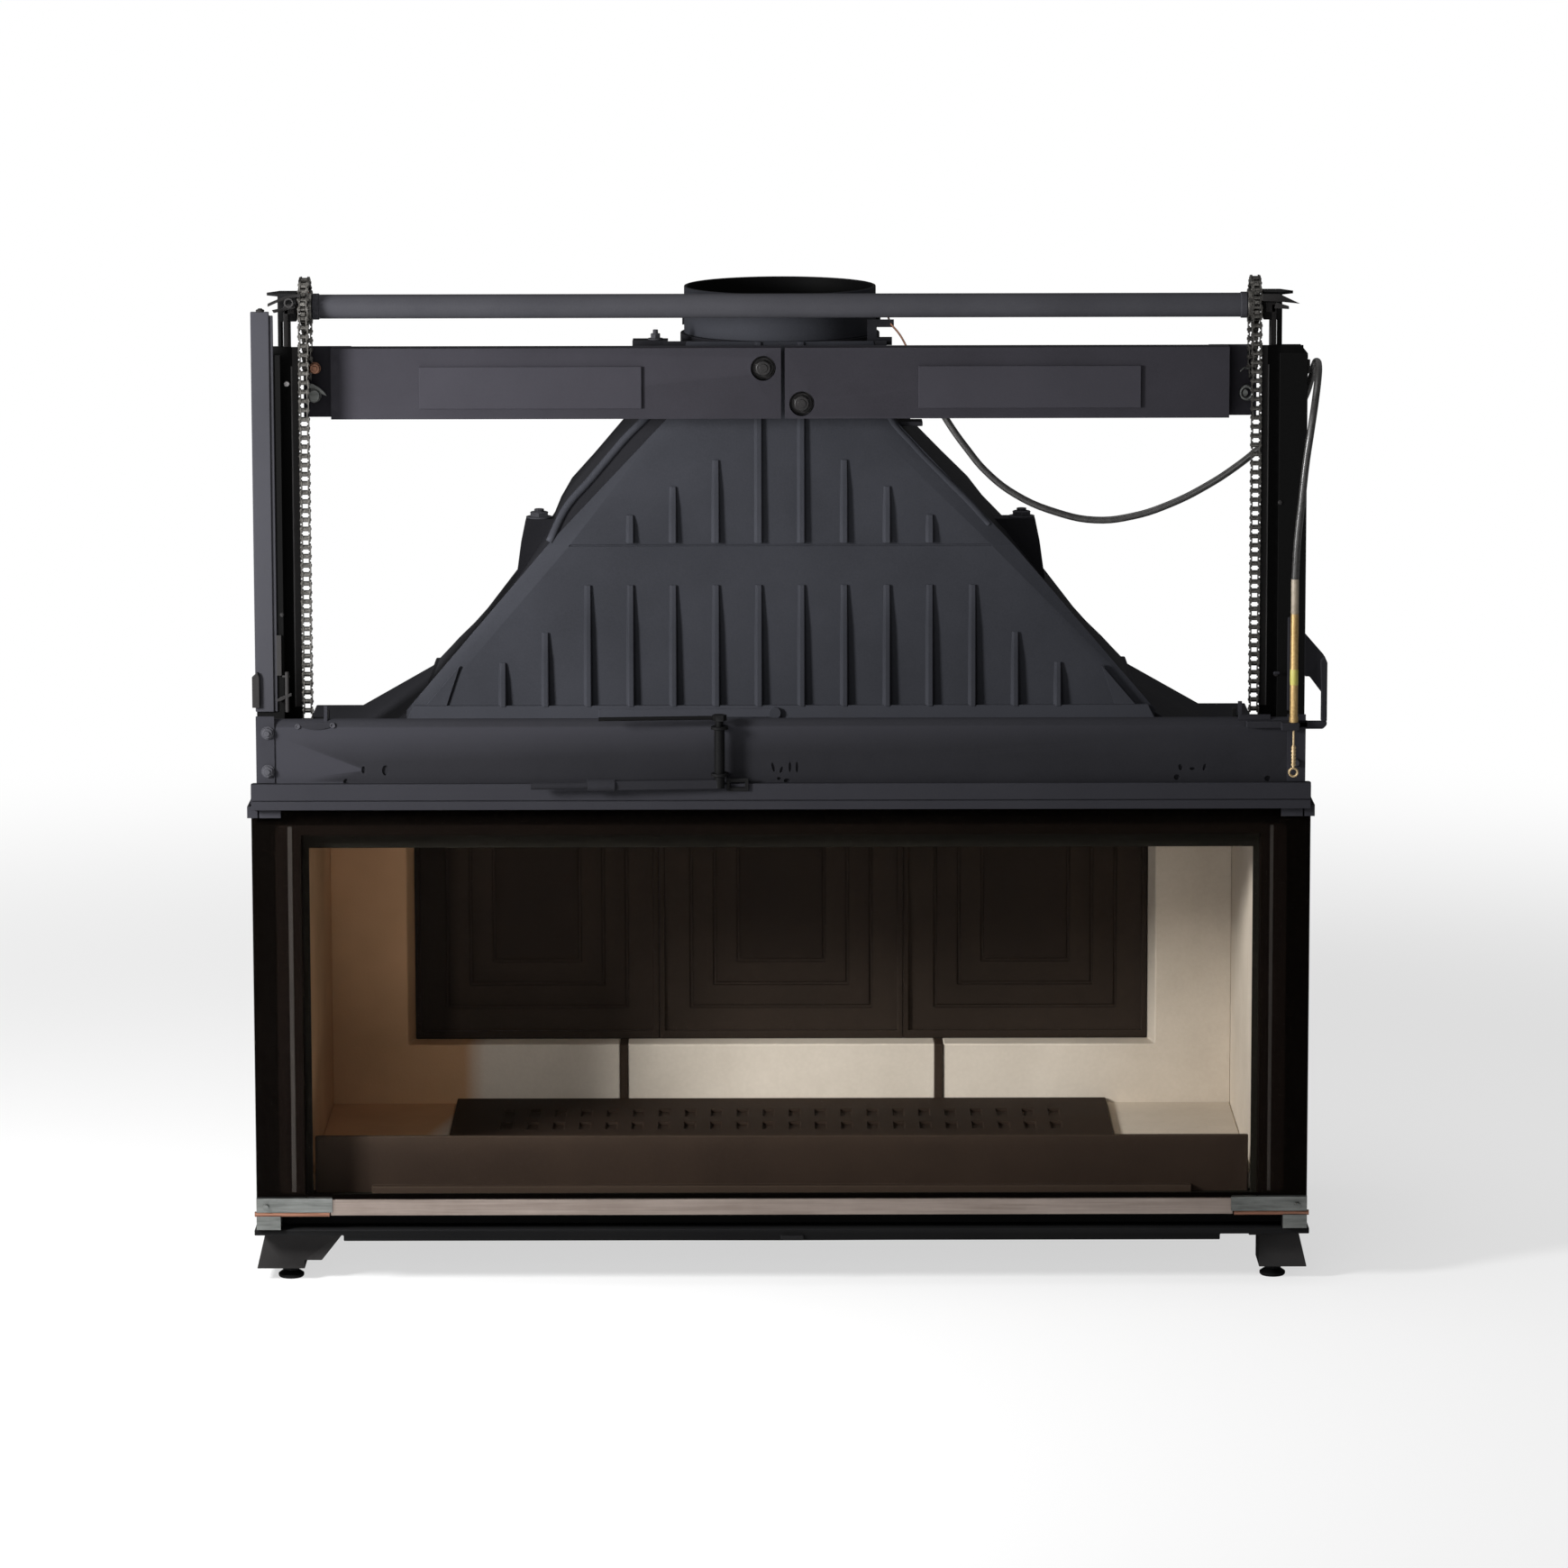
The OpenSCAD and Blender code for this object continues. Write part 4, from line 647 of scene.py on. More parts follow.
def domeFront(s):
    bm = bmesh.new()

    def outline(inset):
        upper = 1.4 * inset
        right = [(s["foot"] - inset, 0), (s["foot"] - inset, 26), (s["joint"] - inset, s["jointH"]),
                 (s["shoulder"] - upper, s["shoulderH"]), (s["top"] - upper, s["height"])]
        return right + [(-x, z) for x, z in reversed(right)]

    def layer(inset, y):
        return [bm.verts.new(Vector((x, y, z)) / 1000) for x, z in outline(inset)]

    front, edge, back = layer(s["band"], 0), layer(0, s["thick"] - 1), layer(0, s["thick"])
    n = len(front)
    for inner, outer in ((front, edge), (edge, back)):
        for i in range(n):
            j = (i + 1) % n
            bm.faces.new((inner[i], inner[j], outer[j], outer[i]))
    bm.faces.new(front)
    bm.faces.new(list(reversed(back)))
    bmesh.ops.recalc_face_normals(bm, faces=bm.faces)
    # a shallow groove along the joint line, cut into the front face
    half = s["grooveWide"] / 2
    for height in (s["jointH"] - half, s["jointH"] + half):
        bmesh.ops.bisect_plane(bm, geom=bm.verts[:] + bm.edges[:] + bm.faces[:], dist=0.000001,
                               plane_co=(0, 0, height / 1000), plane_no=(0, 0, 1))
    for f in bm.faces:
        c = f.calc_center_median()
        if abs(c.z - s["jointH"] / 1000) < 0.0009 and abs(c.y) < 0.0001:
            groove = f
    bmesh.ops.inset_region(bm, faces=[groove], thickness=s["grooveInset"], depth=-s["grooveDeep"])

    def rib(x, low, top, foot, head):
        # steep right flank, soft left flank, a flat ridge that sinks towards the top
        corners = []
        for z, tall, wide in ((low, foot, 1.0), ((low * 0.35 + top * 0.65), (foot + head) * 0.55, 0.95),
                              (top, head, 0.85)):
            section = [(x + dx * wide, 1.0 if share is None else -tall * share, z)
                       for dx, share in s["ribSection"]]
            corners.append([bm.verts.new(Vector(corner) / 1000) for corner in section])
        for lower, upper in zip(corners, corners[1:]):
            for i in range(6):
                j = (i + 1) % 6
                bm.faces.new((lower[i], lower[j], upper[j], upper[i]))
        bm.faces.new(corners[0])
        bm.faces.new(list(reversed(corners[-1])))

    for side in (-1, 1):
        for tops, low, foot, head in s["ribRows"]:
            for i, top in enumerate(tops):
                rib(side * (i + 0.5) * s["ribStep"], low, top, foot, head)
    # lip along the foot, and a flat joint bar on its left half
    lip = [(-s["foot"], 16), (s["foot"], 16), (s["foot"] - 8, 32), (-s["foot"] + 8, 32)]
    prism(bm, [Vector((x, 1, z)) / 1000 for x, z in lip], forward * 0.008)
    block(bm, Vector(s["bar"][0]), Vector(s["bar"][1]))
    rod(bm, Vector(s["barEnd"][0]), Vector(s["barEnd"][1]), s["barEnd"][2], 20)
    # small casting tickets beside the outer ribs
    for side in (-1, 1):
        prism(bm, [Vector((side * x, 1, z)) / 1000 for x, z in s["ticket"]], forward * 0.004)
    lean = Matrix.Rotation(radians(-s["lean"]), 4, 'X')
    bmesh.ops.transform(bm, matrix=Matrix.Translation(at(0, s["y"], s["z"])) @ lean, verts=bm.verts)
    finishPiece("domeFrontCast", bm, "frame", "cast", 0.0008, ["dome_front"], angle=28, merge=False)


domeFront(domeSet)
# beads along the dome body's shoulders, the right one cut lower than the left
shoulderSet = {
    "radius": 0.0042,
    "beads": {
        "shoulderLeft": [(-243, 174, 764), (-225, 175.4, 800), (-200, 176.5, 829), (-166, 178, 869),
                         (-127, 179.6, 913), (-119, 180.4, 936)],
        "shoulderRight": [(219, 174.6, 781), (201, 175.4, 802), (172, 176.5, 831), (140, 177.7, 864),
                          (113, 179, 899), (109, 180.4, 936)],
    },
}
for beadName, bead in shoulderSet["beads"].items():
    cableLine(beadName, [at(*p) for p in bead], shoulderSet["radius"], "cast", 6)
bm = bmesh.new()
box3(bm, (112, 150), (186, 212), (884, 889))
finishPiece("domeRightLug", bm, "frame", "castDark", 0.001)
print("dome front cast")

# lintel plate: folded sheet with a rolled top edge, end tabs, punched slots and a tongue under each chain
lintelSet = {
    "half": 540, "low": 537, "top": 603, "roll": 9, "thick": 3,
    # slots: x, z, half width, half height, lean
    "slots": [
        (-429.858, 551, 1.9, 3.8, 0), (-407.187, 550.3, 3.4, 5.4, 0), (-447.975, 538.5, 2.6, 3.0, 0),
        (-7.92, 553, 1.3, 5.0, 12), (0.495, 550, 1.3, 3.6, -18), (9.405, 553, 1.2, 5.2, 0),
        (16.632, 553, 1.2, 5.6, 0), (6.534, 538.5, 3.4, 2.4, 0), (-1.98, 541, 2.0, 1.6, 0),
        (411.345, 552, 1.9, 3.2, 10), (423.72, 550.5, 2.6, 1.5, 0), (436.095, 552, 1.4, 3.6, -14),
        (501.435, 540, 3.2, 3.0, 0), (407.88, 541.5, 3.0, 3.0, 0)],
    # blocks at both ends, outwards, back and up: returns behind the plate, cheeks, raised tab in front
    "ends": [((516, 540), (3, 6), (500, 600)), ((538, 550.6), (3, 6), (500, 512)),
             ((548.6, 550.6), (6, 50), (500, 512)), ((538, 548.6), (46, 50), (500, 512)),
             ((521, 540), (-1.6, 0.2), (537.5, 607))],
    "tongues": (-478, 489), "tongueHalf": 17, "tongueZ": 599, "tongueDrop": 6,
    "pin": ((-470, -466.6), (3, 6), (599, 617)),
    "catch": [(471, 601), (504, 601), (504, 606), (475, 606.5), (474.6, 620), (470.4, 620)],
}


def lintelPlate(s):
    def arc(radius, angles):
        return [(s["roll"] - radius * cos(radians(a)), s["top"] - s["roll"] + radius * sin(radians(a)))
                for a in angles]

    bm = bmesh.new()
    outer = [(0, s["low"]), (0, s["top"] - s["roll"])] + arc(s["roll"], (15, 30, 45, 60, 75, 90))
    inner = [(s["roll"], s["top"] - s["thick"])] + arc(s["roll"] - s["thick"], (70, 45, 20, 0))
    plateYz(bm, outer + inner + [(s["thick"], s["low"])], -s["half"], 2 * s["half"])
    bmesh.ops.recalc_face_normals(bm, faces=bm.faces)
    plate = addObject("lintelFold", meshFrom(bm, "lintelFold"))
    # the punch: round, oval and slanted slots cut right through
    bm = bmesh.new()
    for x, z, w, h, lean in s["slots"]:
        turn = radians(lean)
        outline = []
        for k in range(12):
            a = radians(30 * k)
            dx, dz = w * cos(a), h * sin(a)
            outline.append((x + dx * cos(turn) - dz * sin(turn), z + dx * sin(turn) + dz * cos(turn)))
        plateXz(bm, outline, -2, 4.6)
    bmesh.ops.recalc_face_normals(bm, faces=bm.faces)
    punch = addObject("lintelPunch", meshFrom(bm, "lintelPunch"))
    cut = plate.modifiers.new("punched", 'BOOLEAN')
    cut.operation = 'DIFFERENCE'
    cut.object = punch
    cut.solver = 'EXACT'
    bpy.context.view_layer.update()
    solid = bpy.data.meshes.new_from_object(plate.evaluated_get(bpy.context.evaluated_depsgraph_get()))
    bpy.data.objects.remove(punch)
    bpy.data.objects.remove(plate)
    bm = bmesh.new()
    bm.from_mesh(solid)
    for side, middle in zip((-1, 1), s["tongues"]):
        for x, y, z in s["ends"]:
            box3(bm, x, y, z, side)
        # tongue under the chain, rounded below
        bend = [(middle - s["tongueHalf"] * cos(radians(a)), s["tongueZ"] - s["tongueDrop"] * sin(radians(a)))
                for a in range(0, 181, 20)]
        wide, top = s["tongueHalf"] + 1, s["tongueZ"] + 1.5
        plateXz(bm, bend + [(middle + wide, top), (middle - wide, top)], -1.4, 1.5)
    # upright pin on the left and hooked catch on the right, beside the chains
    box3(bm, *s["pin"])
    plateXz(bm, s["catch"], 3, 3)
    finishPiece("lintelFolded", bm, "frame", "charcoal", 0.0005, ["lintel_plate"], angle=25, merge=False)


lintelPlate(lintelSet)

# the frame's bolts, the bolts on the dome's lugs, and the rivets above the tongues
boltSet = {
    # place, axis, width across flats, height, washer and stud
    "bolts": [((-528, -1.6, 590), forward, 0.0098, 0.0034, 0.0135, 0.0022),
              ((-528, -1.6, 550), forward, 0.0098, 0.0034, 0.0135, 0.0022),
              ((530, -1.6, 557), forward, 0.0068, 0.0028, 0.0085),
              ((-259, 305, 772), up, 0.0185, 0.0052, 0.028, 0.003),
              ((259, 305, 772), up, 0.0185, 0.0052, 0.028, 0.003),
              ((-131, 198, 975), up, 0.0098, 0.005, 0.016, 0.004)],
    "rivets": ((-497, 596.5), (-461, 597.5), (499, 595.5)), "rivet": 0.0018, "rim": (0.0022, 0.0007),
}


def frameBolts(s):
    bm = bmesh.new()
    for place, *head in s["bolts"]:
        boltHead(bm, at(*place), *head)
    for x, z in s["rivets"]:
        ring(bm, at(x, -1.2, z), forward, *s["rim"], 16, 6)
        rods(bm, [((x, -0.4, z), (x, -1.0, z), s["rivet"], 12)])
    finishPiece("frameBoltSet", bm, "frame", "shaftPaint", 0.0002, ["frame_bolts"])


frameBolts(boltSet)

# counterweight bolts on flat dark discs that paint the shade of their holes, and the eyes and hooks that end the
# rear chains
weightSet = {
    "holes": [(-17.4, 120.9, 953.6), (22.6, 120.9, 916.5)], "holeShadeRadius": 0.0128, "rim": 0.0009,
    "bolt": (0.0155, 0.0062, 0.0212, 0.0012),
    # right: round eye on a stud with a small clip; left: domed nut, hook and a coppered bolt
    "eye": (486, 122.4, 926), "eyeRadius": 0.0064, "eyeTube": 0.0022,
    "rods": [((483, 124.4, 926), (483, 136, 926), 0.003, 14),
             ((483, 121.5, 926), (483, 124.6, 926), 0.0042, 18, 0.003),
             ((479, 124, 948), (483, 124, 952), 0.0011, 8), ((483, 124, 952), (489, 124, 951), 0.0011, 8)],
    "nut": (-485, 124.5, 925), "nutSize": (0.0128, 0.006, 0.015),
    "nutRod": ((-482.8, 124.4, 925), (-482.8, 136, 925), 0.003, 14),
    "hook": [(-491, 938), (-485.5, 937), (-479.5, 933.5), (-474.5, 929), (-471.5, 924.5), (-476, 926),
             (-481.5, 929.5), (-486.5, 932), (-491, 932.5)],
    "copper": (-484, 124.5, 953.5), "copperSize": (0.0105, 0.005, 0.0125, 0.0018),
    "copperRod": ((-482.6, 124.4, 953.5), (-482.6, 136, 953.5), 0.0028, 14),
}


def weightBolts(s):
    bm = bmesh.new()
    for hole in s["holes"]:
        low = at(*hole)
        raised = low + forward * 0.0006
        # painted shade: a flat dark disc with a rim stands for the hole around the bolt
        rod(bm, low, raised, s["holeShadeRadius"], 36)
        ring(bm, raised, back, s["holeShadeRadius"] - 0.001, s["rim"], 36, 8)
        boltHead(bm, raised, forward, *s["bolt"])
    finishPiece("weightBoltSet", bm, "counterweight", "darkBolt", 0.0003, ["weight_hardware"])


def chainEyes(s):
    bm = bmesh.new()
    ring(bm, at(*s["eye"]), forward, s["eyeRadius"], s["eyeTube"], 36, 10)
    rods(bm, s["rods"])
    boltHead(bm, at(*s["nut"]), forward, *s["nutSize"])
    rods(bm, [s["nutRod"]])
    plateXz(bm, s["hook"], 121.5, 1.6)
    finishPiece("chainEyeSet", bm, "counterweight", "clampSteel", 0.0003)
    bm = bmesh.new()
    boltHead(bm, at(*s["copper"]), forward, *s["copperSize"])
    rods(bm, [s["copperRod"]])
    finishPiece("copperBolt", bm, "counterweight", "copper", 0.0003)


weightBolts(weightSet)
chainEyes(weightSet)
print("bolts and eyes made")

# printed border on the back of the glass, and the thin gasket line inside it
printSet = {
    "outX": 547.6, "low": 84.4, "top": 529.6, "inX": 523.5, "inLow": 99, "inTop": 490, "y": 18.04, "thick": 0.12,
    "corner": 6, "gaskets": ((-510.5, -506), (506, 509.5)), "gasketLow": 101, "gasketTop": 488,
}


def glassBorder(s):
    bm = bmesh.new()
    outer = [(-s["outX"], s["low"]), (s["outX"], s["low"]), (s["outX"], s["top"]), (-s["outX"], s["top"])]
    inner, corner = [], s["corner"]
    for cx, cz, start in ((-1, -1, 180), (1, -1, 270), (1, 1, 0), (-1, 1, 90)):
        for k in range(5):
            a = radians(start + 22.5 * k)
            edgeZ = s["inLow"] + corner if cz < 0 else s["inTop"] - corner
            inner.append((cx * (s["inX"] - corner) + corner * cos(a), edgeZ + corner * sin(a)))
    loops = []
    for y in (s["y"], s["y"] + s["thick"]):
        outerV = [bm.verts.new(at(x, y, z)) for x, z in outer]
        innerV = [bm.verts.new(at(x, y, z)) for x, z in inner]
        edges = [bm.edges.new((v[i], v[(i + 1) % len(v)])) for v in (outerV, innerV) for i in range(len(v))]
        bmesh.ops.triangle_fill(bm, edges=edges, use_beauty=True)
        loops.append((outerV, innerV))
    for a, b in zip(*loops):
        for i in range(len(a)):
            j = (i + 1) % len(a)
            bm.faces.new((a[i], a[j], b[j], b[i]))
    finishPiece("glassPrintBorder", bm, "door", "print", merge=False)
    bm = bmesh.new()
    for x in s["gaskets"]:
        box3(bm, x, (s["y"] + 0.02, s["y"] + 0.2), (s["gasketLow"], s["gasketTop"]))
    bmesh.ops.subdivide_edges(bm, edges=[e for e in bm.edges if e.calc_length() > 0.1], cuts=24)
    finishPiece("gasketLine", bm, "door", "gasket")


glassBorder(printSet)

# cable bracket: bar on the lintel's end, clamp block, gusset and the bent loop
bracketSet = {
    "z": 596, "bar": (478.5, 542), "clamp": (513.5, 532.5), "post": (524.5, 530), "pinX": (510, 517), "pinZ": 643,
    # plates of the loop, heights above z, with where they start and how thick they are
    "plates": [
        ([(532, -3), (557, -3), (561, 1), (561, 5), (532, 5)], -9, 7),
        ([(555, 5), (561, 5), (561, 66), (558, 73), (553.6, 68), (555, 35)], -10, 9),
        ([(538, 96), (558, 73), (558, 35), (555, 35), (543, 51), (538, 51)], -5, 3.6)],
}


def cableBracket(s):
    bm = bmesh.new()
    z = s["z"]
    box3(bm, s["bar"], (-9, 0), (z - 2, z + 5))
    box3(bm, s["clamp"], (-20, -8.8), (z - 3, z + 5))
    for outline, y, thick in s["plates"]:
        plateXz(bm, [(x, z + rise) for x, rise in outline], y, thick)
    # post behind the sleeve and the small pin beside it
    box3(bm, s["post"], (46, 50), (603, 701))
    rod(bm, at(s["pinX"][0], 44, s["pinZ"]), at(s["pinX"][1], 44, s["pinZ"]), 0.0016, 12)
    finishPiece("cableBracketForged", bm, "frame", "charcoal", 0.0012, ["cable_bracket"], segments=3)


cableBracket(bracketSet)
print("glass border and cable bracket made")


# cross shaft: tube with pressed plugs, stub axles and the collars beside the sprockets
shaftSet = {
    "y": 102, "z": 1020, "half": 484, "radius": 12.5, "plugX": 478,
    # start, end and radius of the plug, the stub axle's two lengths and its end
    "stubs": ((478, 483.4, 13.6), (483.5, 499, 5.9), (499, 515, 5.9), (515, 517.5, 4.8)),
}


def crossShaft(s):
    def mid(x):
        return at(x, s["y"], s["z"])

    bm = bmesh.new()
    rod(bm, mid(-s["half"]), mid(s["half"]), s["radius"] / 1000, 64)
    for side in (-1, 1):
        for start, end, radius in s["stubs"]:
            rod(bm, mid(side * start), mid(side * end), radius / 1000, 40)
        ring(bm, mid(side * s["plugX"]), across, s["radius"] / 1000, 0.0012, 48, 8)
    finishPiece("crossShaft", bm, "chain_shaft", "shaftPaint", 0.0003, ["shaft_tube"])


crossShaft(shaftSet)

# top ends: horned cap plates on the bearing blocks, small tabs and pins
hornSet = {
    # left: a bowed horn with a hole
    "start": (-528, 1026), "long": 34, "rise": 10, "thick": 3.2, "hole": (-506, 69.5, 1027),
    # outline and depth: thin tie below the horn; right: a pointed plate and a folded tab
    "plates": [([(-524, 1019), (-500, 1024), (-500, 1021), (-522, 1016)], 74),
               ([(497, 1034), (515, 1034), (536, 1024), (516, 1026), (497, 1027)], 70),
               ([(512, 1025), (525, 1021), (525, 1018), (510, 1019)], 74)],
    # bent strip between the cap and the column, on both sides
    "strips": [((508, 513), (84, 118), (968, 1022)), ((502, 512), (84, 88), (1014, 1024))],
}


def topHorns(s):
    bm = bmesh.new()
    x, z = s["start"]
    upper = [(x + s["long"] * k / 8, z + s["rise"] * sin(pi * k / 16)) for k in range(9)]
    lower = [(x, top - s["thick"]) for x, top in reversed(upper)]
    for outline, y in [(upper + lower, 70)] + s["plates"]:
        plateXz(bm, outline, y, 3)
    ring(bm, at(*s["hole"]), back, 0.0042, 0.0012, 24, 8)
    for side in (-1, 1):
        for strip in s["strips"]:
            box3(bm, *strip, side)
    finishPiece("topHornPlates", bm, "frame", "rail", 0.0005)


topHorns(hornSet)

# small parts inside the columns' channels: rivets, a locking bar and its lever, outer bracket, strip bolt
columnSet = {
    "bar": ((-521.5, -516.5), (45.5, 49.8), (642, 684)),
    # outline, depth and thickness: tilted latch, outer bracket at the strip's foot, the right column's ear
    "plates": [([(-522, 617), (-517, 620), (-506.5, 624), (-506.5, 621), (-516, 616.5), (-521, 614.8)], 44, 2.2),
               ([(-547, 609), (-539.5, 609), (-539.5, 641), (-541.5, 646), (-547, 641)], 41, 5),
               ([(541, 968), (545.5, 968), (545.5, 956), (541, 950)], 52, 4)],
    # pin across the latch, its lever, and the bolt on the strip's head with its rim
    "rods": [((-516, 47, 641), (-508, 47, 641), 0.001, 10), ((-511, 46, 604), (-511, 46, 646), 0.0022, 14),
             ((-534, 49, 1019.5), (-534, 49, 1023.4), 0.0032, 18, 0.0022)],
    "rim": (-534, 49, 1021),
    "rivets": ((513, 641), (-515.8, 705), (515.8, 820)),
    "railRivet": ((-510, 81, 942), (-510, 78.5, 942), 0.0032, 20, 0.0026),
    "edge": ((504.3, 505.8), (80.8, 82), (603.5, 960)), "lip": ((498, 504.3), (81.2, 82), (603.5, 980)),
}


def columnDetails(s):
    bm = bmesh.new()
    box3(bm, *s["bar"])
    for plate in s["plates"]:
        plateXz(bm, *plate)
    rods(bm, s["rods"])
    ring(bm, at(*s["rim"]), up, 0.0032, 0.0014, 20, 8)
    finishPiece("columnDetailSet", bm, "frame", "rail", 0.0004)
    bm = bmesh.new()
    for x, z in s["rivets"]:
        rods(bm, [((x, 50, z), (x, 49.1, z), 0.0026, 18, 0.0019), ((x, 49.4, z), (x, 48.4, z), 0.0012, 12)])
    finishPiece("columnRivets", bm, "frame", "darkBolt", 0.0001)
    bm = bmesh.new()
    rods(bm, [s["railRivet"]])
    finishPiece("railRivet", bm, "frame", "zinc", 0.0001)
    # folded edge down each inner side of the channel, in lighter grey as a painted highlight, and the lip inside
    # it
    for pieceName, size, material, bevel in (("columnEdgeHighlights", "edge", "railEdgeHighlight", 0.0003),
                                             ("railLips", "lip", "rail", 0.0002)):
        bm = bmesh.new()
        for side in (-1, 1):
            box3(bm, *s[size], side)
        finishPiece(pieceName, bm, "frame", material, bevel)


columnDetails(columnSet)

# levelling feet: dished disc, hexagon, threaded screw with the thread as stacked turns
footSet = {"x": 516, "y": {"front": 62, "rear": 410}, "disc": 27, "root": 0.0043, "crest": 0.005,
           "pitch": 1.5, "turns": 34, "screwLow": 15}


def levellingFoot(place, x, y, s):
    bm = bmesh.new()
    rim = s["disc"] / 2000
    profile = [(0.0001, 0.0), (rim - 0.0012, 0.0), (rim, 0.0014), (rim, 0.0036), (rim - 0.003, 0.0058),
               (0.0062, 0.0082), (0.0001, 0.0082)]
    lathe(bm, profile, at(x, y, 0), up, 40)
    rod(bm, at(x, y, 8), at(x, y, 14), 0.0098, 6)
    rod(bm, at(x, y, 13.4), at(x, y, 15.2), 0.0086, 28, 0.0076)
    for k in range(s["turns"]):
        capped = k in (0, s["turns"] - 1)
        low, mid, high = (at(x, y, s["screwLow"] + s["pitch"] * turn) for turn in (k, k + 0.5, k + 1))
        rod(bm, low, mid, s["root"], 16, s["crest"], capped)
        rod(bm, mid, high, s["crest"], 16, s["root"], capped)
    finishPiece("levelling_" + place + "Screw", bm, "screw_" + place, "black", 0.0002, ["foot_" + place],
                angle=50)


for end, y in footSet["y"].items():
    levellingFoot(end + "_left", -footSet["x"], y, footSet)
    levellingFoot(end + "_right", footSet["x"], y, footSet)
print("shaft, column parts and feet made")

# screws and seams on the casing's sides and back
casingSet = {
    "sideX": 513, "backY": 464, "low": 92, "high": 520, "seamThick": 1.6, "seamHalf": 5, "seams": (152, 452),
    "sideZ": (110, 300, 470), "sideY": (170, 300, 430), "backX": (120, 240, 470), "backZ": (110, 300, 500),
    "screw": (0.0088, 0.0032, 0.013),
}


def casingScrews(s):
    bm = bmesh.new()
    for side in (-1, 1):
        for z in s["sideZ"]:
            for y in s["sideY"]:
                boltHead(bm, at(side * s["sideX"], y, z), across * side, *s["screw"])
    for x in [-x for x in reversed(s["backX"])] + list(s["backX"]):
        for z in s["backZ"]:
            boltHead(bm, at(x, s["backY"], z), back, *s["screw"])
    finishPiece("casingScrewSet", bm, "frame", "darkBolt")
    bm = bmesh.new()
    for side in (-1, 1):
        for y in s["seams"]:
            box3(bm, (s["sideX"], s["sideX"] + s["seamThick"]), (y - s["seamHalf"], y + s["seamHalf"]),
                 (s["low"], s["high"]), side)
    finishPiece("casingSeams", bm, "frame", "castDark", 0.0006)


casingScrews(casingSet)

# CAD nodes with softened edges: finish, bevel in mm, and the body where it isn't the frame
softenedSet = {
    "base_frame": ("black", 1.0),
    "foot_brackets": ("rail", 0.8),
    "seal_frame": ("sealGrey", 0.8),
    "lintel_ledge": ("charcoal", 1.2),
    "column_left": ("column", 0.5),
    "column_right": ("column", 0.5),
    "guide_rails": ("column", 0.5),
    "outer_strip": ("strip", 0.8),
    "top_bracket_left": ("black", 0.7),
    "top_bracket_right": ("black", 0.7),
    "lever_bracket": ("black", 0.6),
    "door_frame": ("frameBrown", 0.8, "door"),
    "lift_arms": ("black", 0.6, "door"),
    "counterweight_halves": ("beam", 1.4, "counterweight"),
    "weight_face_plates": ("beam", 0.5, "counterweight"),
    "dome_shell": ("castDark", 3.0),
    "dome_skirt": ("castDark", 1.5),
    "flue_collar": ("cast", 0.9),
    "air_lever": ("charcoal", 0.8, "lever"),
    "log_retainer": ("fireIron", 1.0),
    "hearth_plate": ("fireIron", 1.0),
    "fireback_left": ("fireback", 1.0),
    "fireback_centre": ("fireback", 1.0),
    "fireback_right": ("fireback", 1.0),
    "divider_bars": ("fireIron", 0.8),
    "bottom_strip": ("stainless", 0.5, "door"),
    "glass_clamps": ("clampSteel", 0.6, "door"),
    "sprockets": ("chain", 0.35, "chain_shaft"),
    "roller_upper": ("zinc", 0.8, "upper_rollers"),
    "roller_lower": ("zinc", 0.8, "lower_rollers"),
    "lining_left": ("board", 1.6),
    "lining_right": ("board", 1.6),
    "lining_floor": ("board", 1.6),
    "lining_rear": ("board", 1.6),
    "damper_flap": ("castDark", 0.6, "damper"),
}
# CAD nodes kept as they are, by finish
plainSet = {
    "castDark": ["firebox_floor", "firebox_left_wall", "firebox_right_wall", "firebox_back", "lintel_shelf"],
    "charcoal": ["lintel_plate", "cable_bracket"],
    "black": ["foot_front_left", "foot_front_right", "foot_rear_left", "foot_rear_right"],
    "chain": ["chain_wraps", "chain_fronts", "chain_rears"],
    "brass": ["shaft_bushes", "cable_sleeve"], "zinc": ["frame_bolts", "weight_hardware"],
    "board": ["smoke_baffle"], "glass": ["door_glass"], "rope": ["door_seal"], "shaftPaint": ["shaft_tube"],
    "crimp": ["pull_wire"], "sheath": ["cable_sheath"], "cast": ["dome_front"],
}
soft = {}
for nodeName, (material, bevel, *others) in softenedSet.items():
    soft[nodeName] = softened(nodeName, material, bevel / 1000.0, others[0] if others else "frame")
    dress(nodes[nodeName], material)
for material, names in plainSet.items():
    for nodeName in names:
        dress(nodes[nodeName], material)
# second finishes: black spindle, rose-tinted clamp pins, black inside of the collar
splitSet = {"spindleZ": 546, "armZ": 541, "armX": -72, "pinZ": 79.8, "pinHalf": 3.2, "pinY": (5.5, 12.2),
            "pinX": 468, "collarY": 275, "collarRadius": 100.5}


def isSpindle(x, y, z):
    return z > splitSet["spindleZ"] or (x > splitSet["armX"] and z > splitSet["armZ"])


def isClampPin(x, y, z):
    low, high = splitSet["pinY"]
    return abs(z - splitSet["pinZ"]) < splitSet["pinHalf"] and low < y < high and abs(x) > splitSet["pinX"]


def isCollarInside(x, y, z):
    return x * x + (y - splitSet["collarY"]) ** 2 < splitSet["collarRadius"] ** 2


dressFaces(soft["air_lever"], "black", isSpindle)
dressFaces(soft["glass_clamps"], "rosePin", isClampPin)
dressFaces(soft["flue_collar"], "black", isCollarInside)
plainCount = sum(len(names) for names in plainSet.values())
print("CAD nodes dressed:", len(softenedSet) + plainCount, "of", len(nodes))


# stage: pale floor, white surround, soft lamps with the key from the left
stageSet = {"floorRadius": 14.0, "clearRadius": 1.3, "fadeRadius": 3.2, "clearGlow": 0.62, "floorWhite": 0.86}


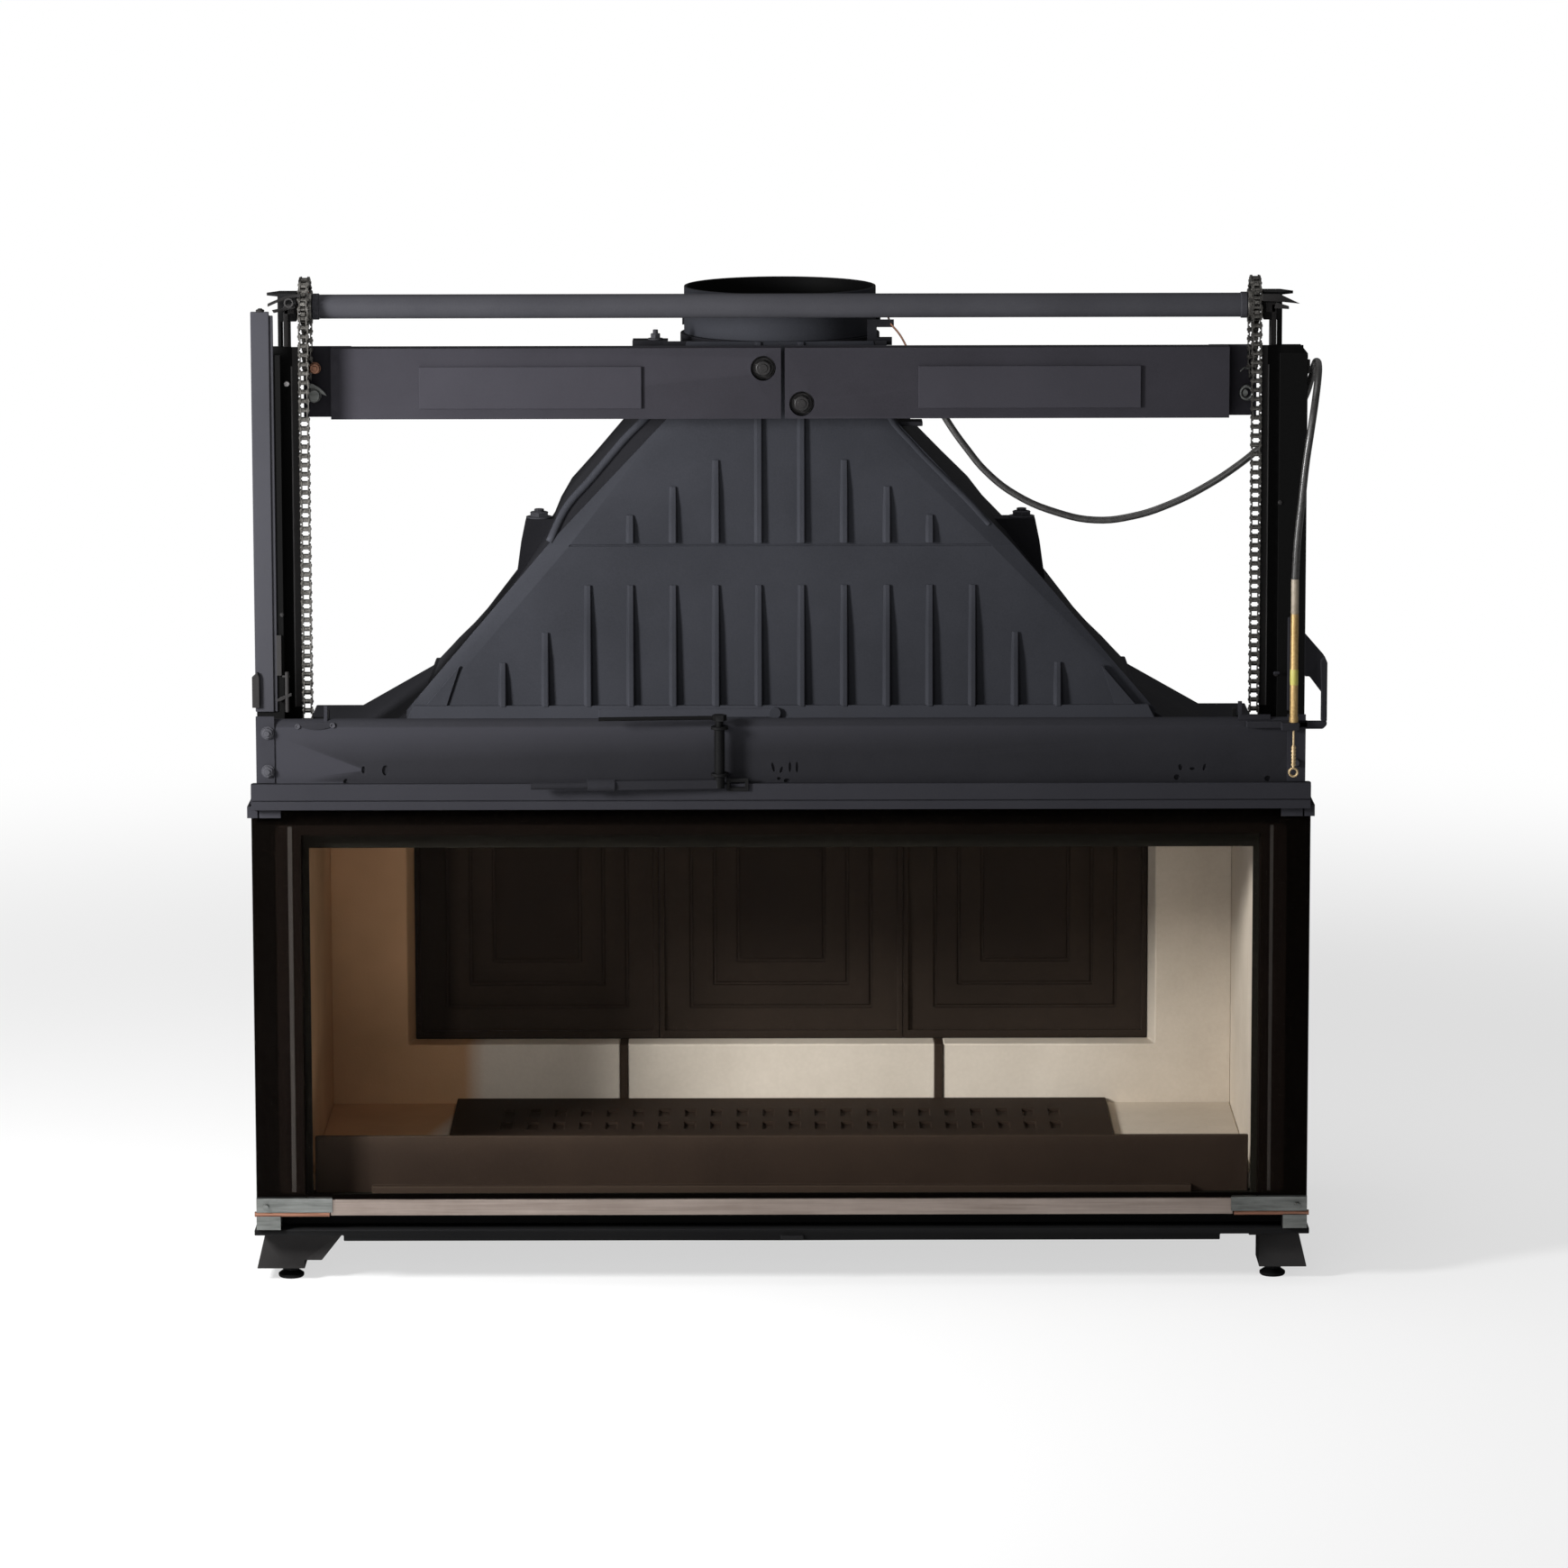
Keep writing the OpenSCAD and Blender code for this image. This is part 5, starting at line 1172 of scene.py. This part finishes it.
def seenDirectly(tree):
    # by the camera, or through the glass
    path = addNode(tree, "LightPath")
    return calculate(tree, 'MAXIMUM', path.outputs["Is Camera Ray"], path.outputs["Is Transmission Ray"])


def mixShaders(tree, fac, first, second, outKind):
    mix = addNode(tree, "MixShader", {0: fac, 1: first.outputs[0], 2: second.outputs[0]})
    addNode(tree, outKind, {"Surface": mix.outputs["Shader"]})


def floorMaterial(s):
    # shaded near the object, plain white further out and through the glass
    mat = bpy.data.materials.new("paleFloor")
    mat.use_nodes = True
    tree = mat.node_tree
    tree.nodes.clear()
    diffuse = addNode(tree, "BsdfDiffuse", {"Color": (s["floorWhite"],) * 3 + (1,)})
    glow = addNode(tree, "Emission", {"Strength": 1.0})
    away = addNode(tree, "VectorMath", {0: addNode(tree, "TexCoord").outputs["Object"]}, operation='LENGTH')
    fade = addNode(tree, "MapRange", {"Value": away.outputs["Value"], "From Min": s["clearRadius"],
                                      "From Max": s["fadeRadius"], "To Min": s["clearGlow"]},
                   interpolation_type='SMOOTHSTEP')
    amount = calculate(tree, 'MULTIPLY', seenDirectly(tree), fade.outputs["Result"])
    mixShaders(tree, amount, diffuse, glow, "OutputMaterial")
    return mat


bm = bmesh.new()
bmesh.ops.create_circle(bm, cap_ends=True, segments=96, radius=stageSet["floorRadius"])
floor = addObject("paleFloor", meshFrom(bm, "paleFloor"))
floor.data.materials.append(floorMaterial(stageSet))

worldSet = {"soft": 0.18, "seen": 1.0}
world = bpy.data.worlds.new("studio")
bpy.context.scene.world = world
world.use_nodes = True
world.node_tree.nodes.clear()
dim, bright = (addNode(world.node_tree, "Background", {"Color": (1, 1, 1, 1), "Strength": worldSet[key]})
               for key in ("soft", "seen"))
mixShaders(world.node_tree, seenDirectly(world.node_tree), dim, bright, "OutputWorld")

lampSet = {
    # name: (place, aim, size, power)
    "leftSoftbox": ((-1.45, -1.2, 1.05), (-0.35, 0.0, 0.6), 0.42, 66),
    "frontSoftbox": ((-1.0, -4.4, 1.4), (-0.1, 0.1, 0.35), 2.6, 44),
    "topSoftbox": ((-0.6, -0.4, 3.6), (-0.2, 0.0, 0.4), 2.4, 34),
}
for lampName, (place, aim, size, power) in lampSet.items():
    lampData = bpy.data.lights.new(lampName, 'AREA')
    lampData.shape = 'DISK'
    lampData.size = size
    lampData.energy = power
    lamp = addObject(lampName, lampData)
    lamp.location = place
    lamp.visible_camera = False
    lamp.rotation_euler = (Vector(aim) - Vector(place)).to_track_quat('-Z', 'Y').to_euler()
bpy.context.scene.view_settings.view_transform = 'Standard'
print("stage set")
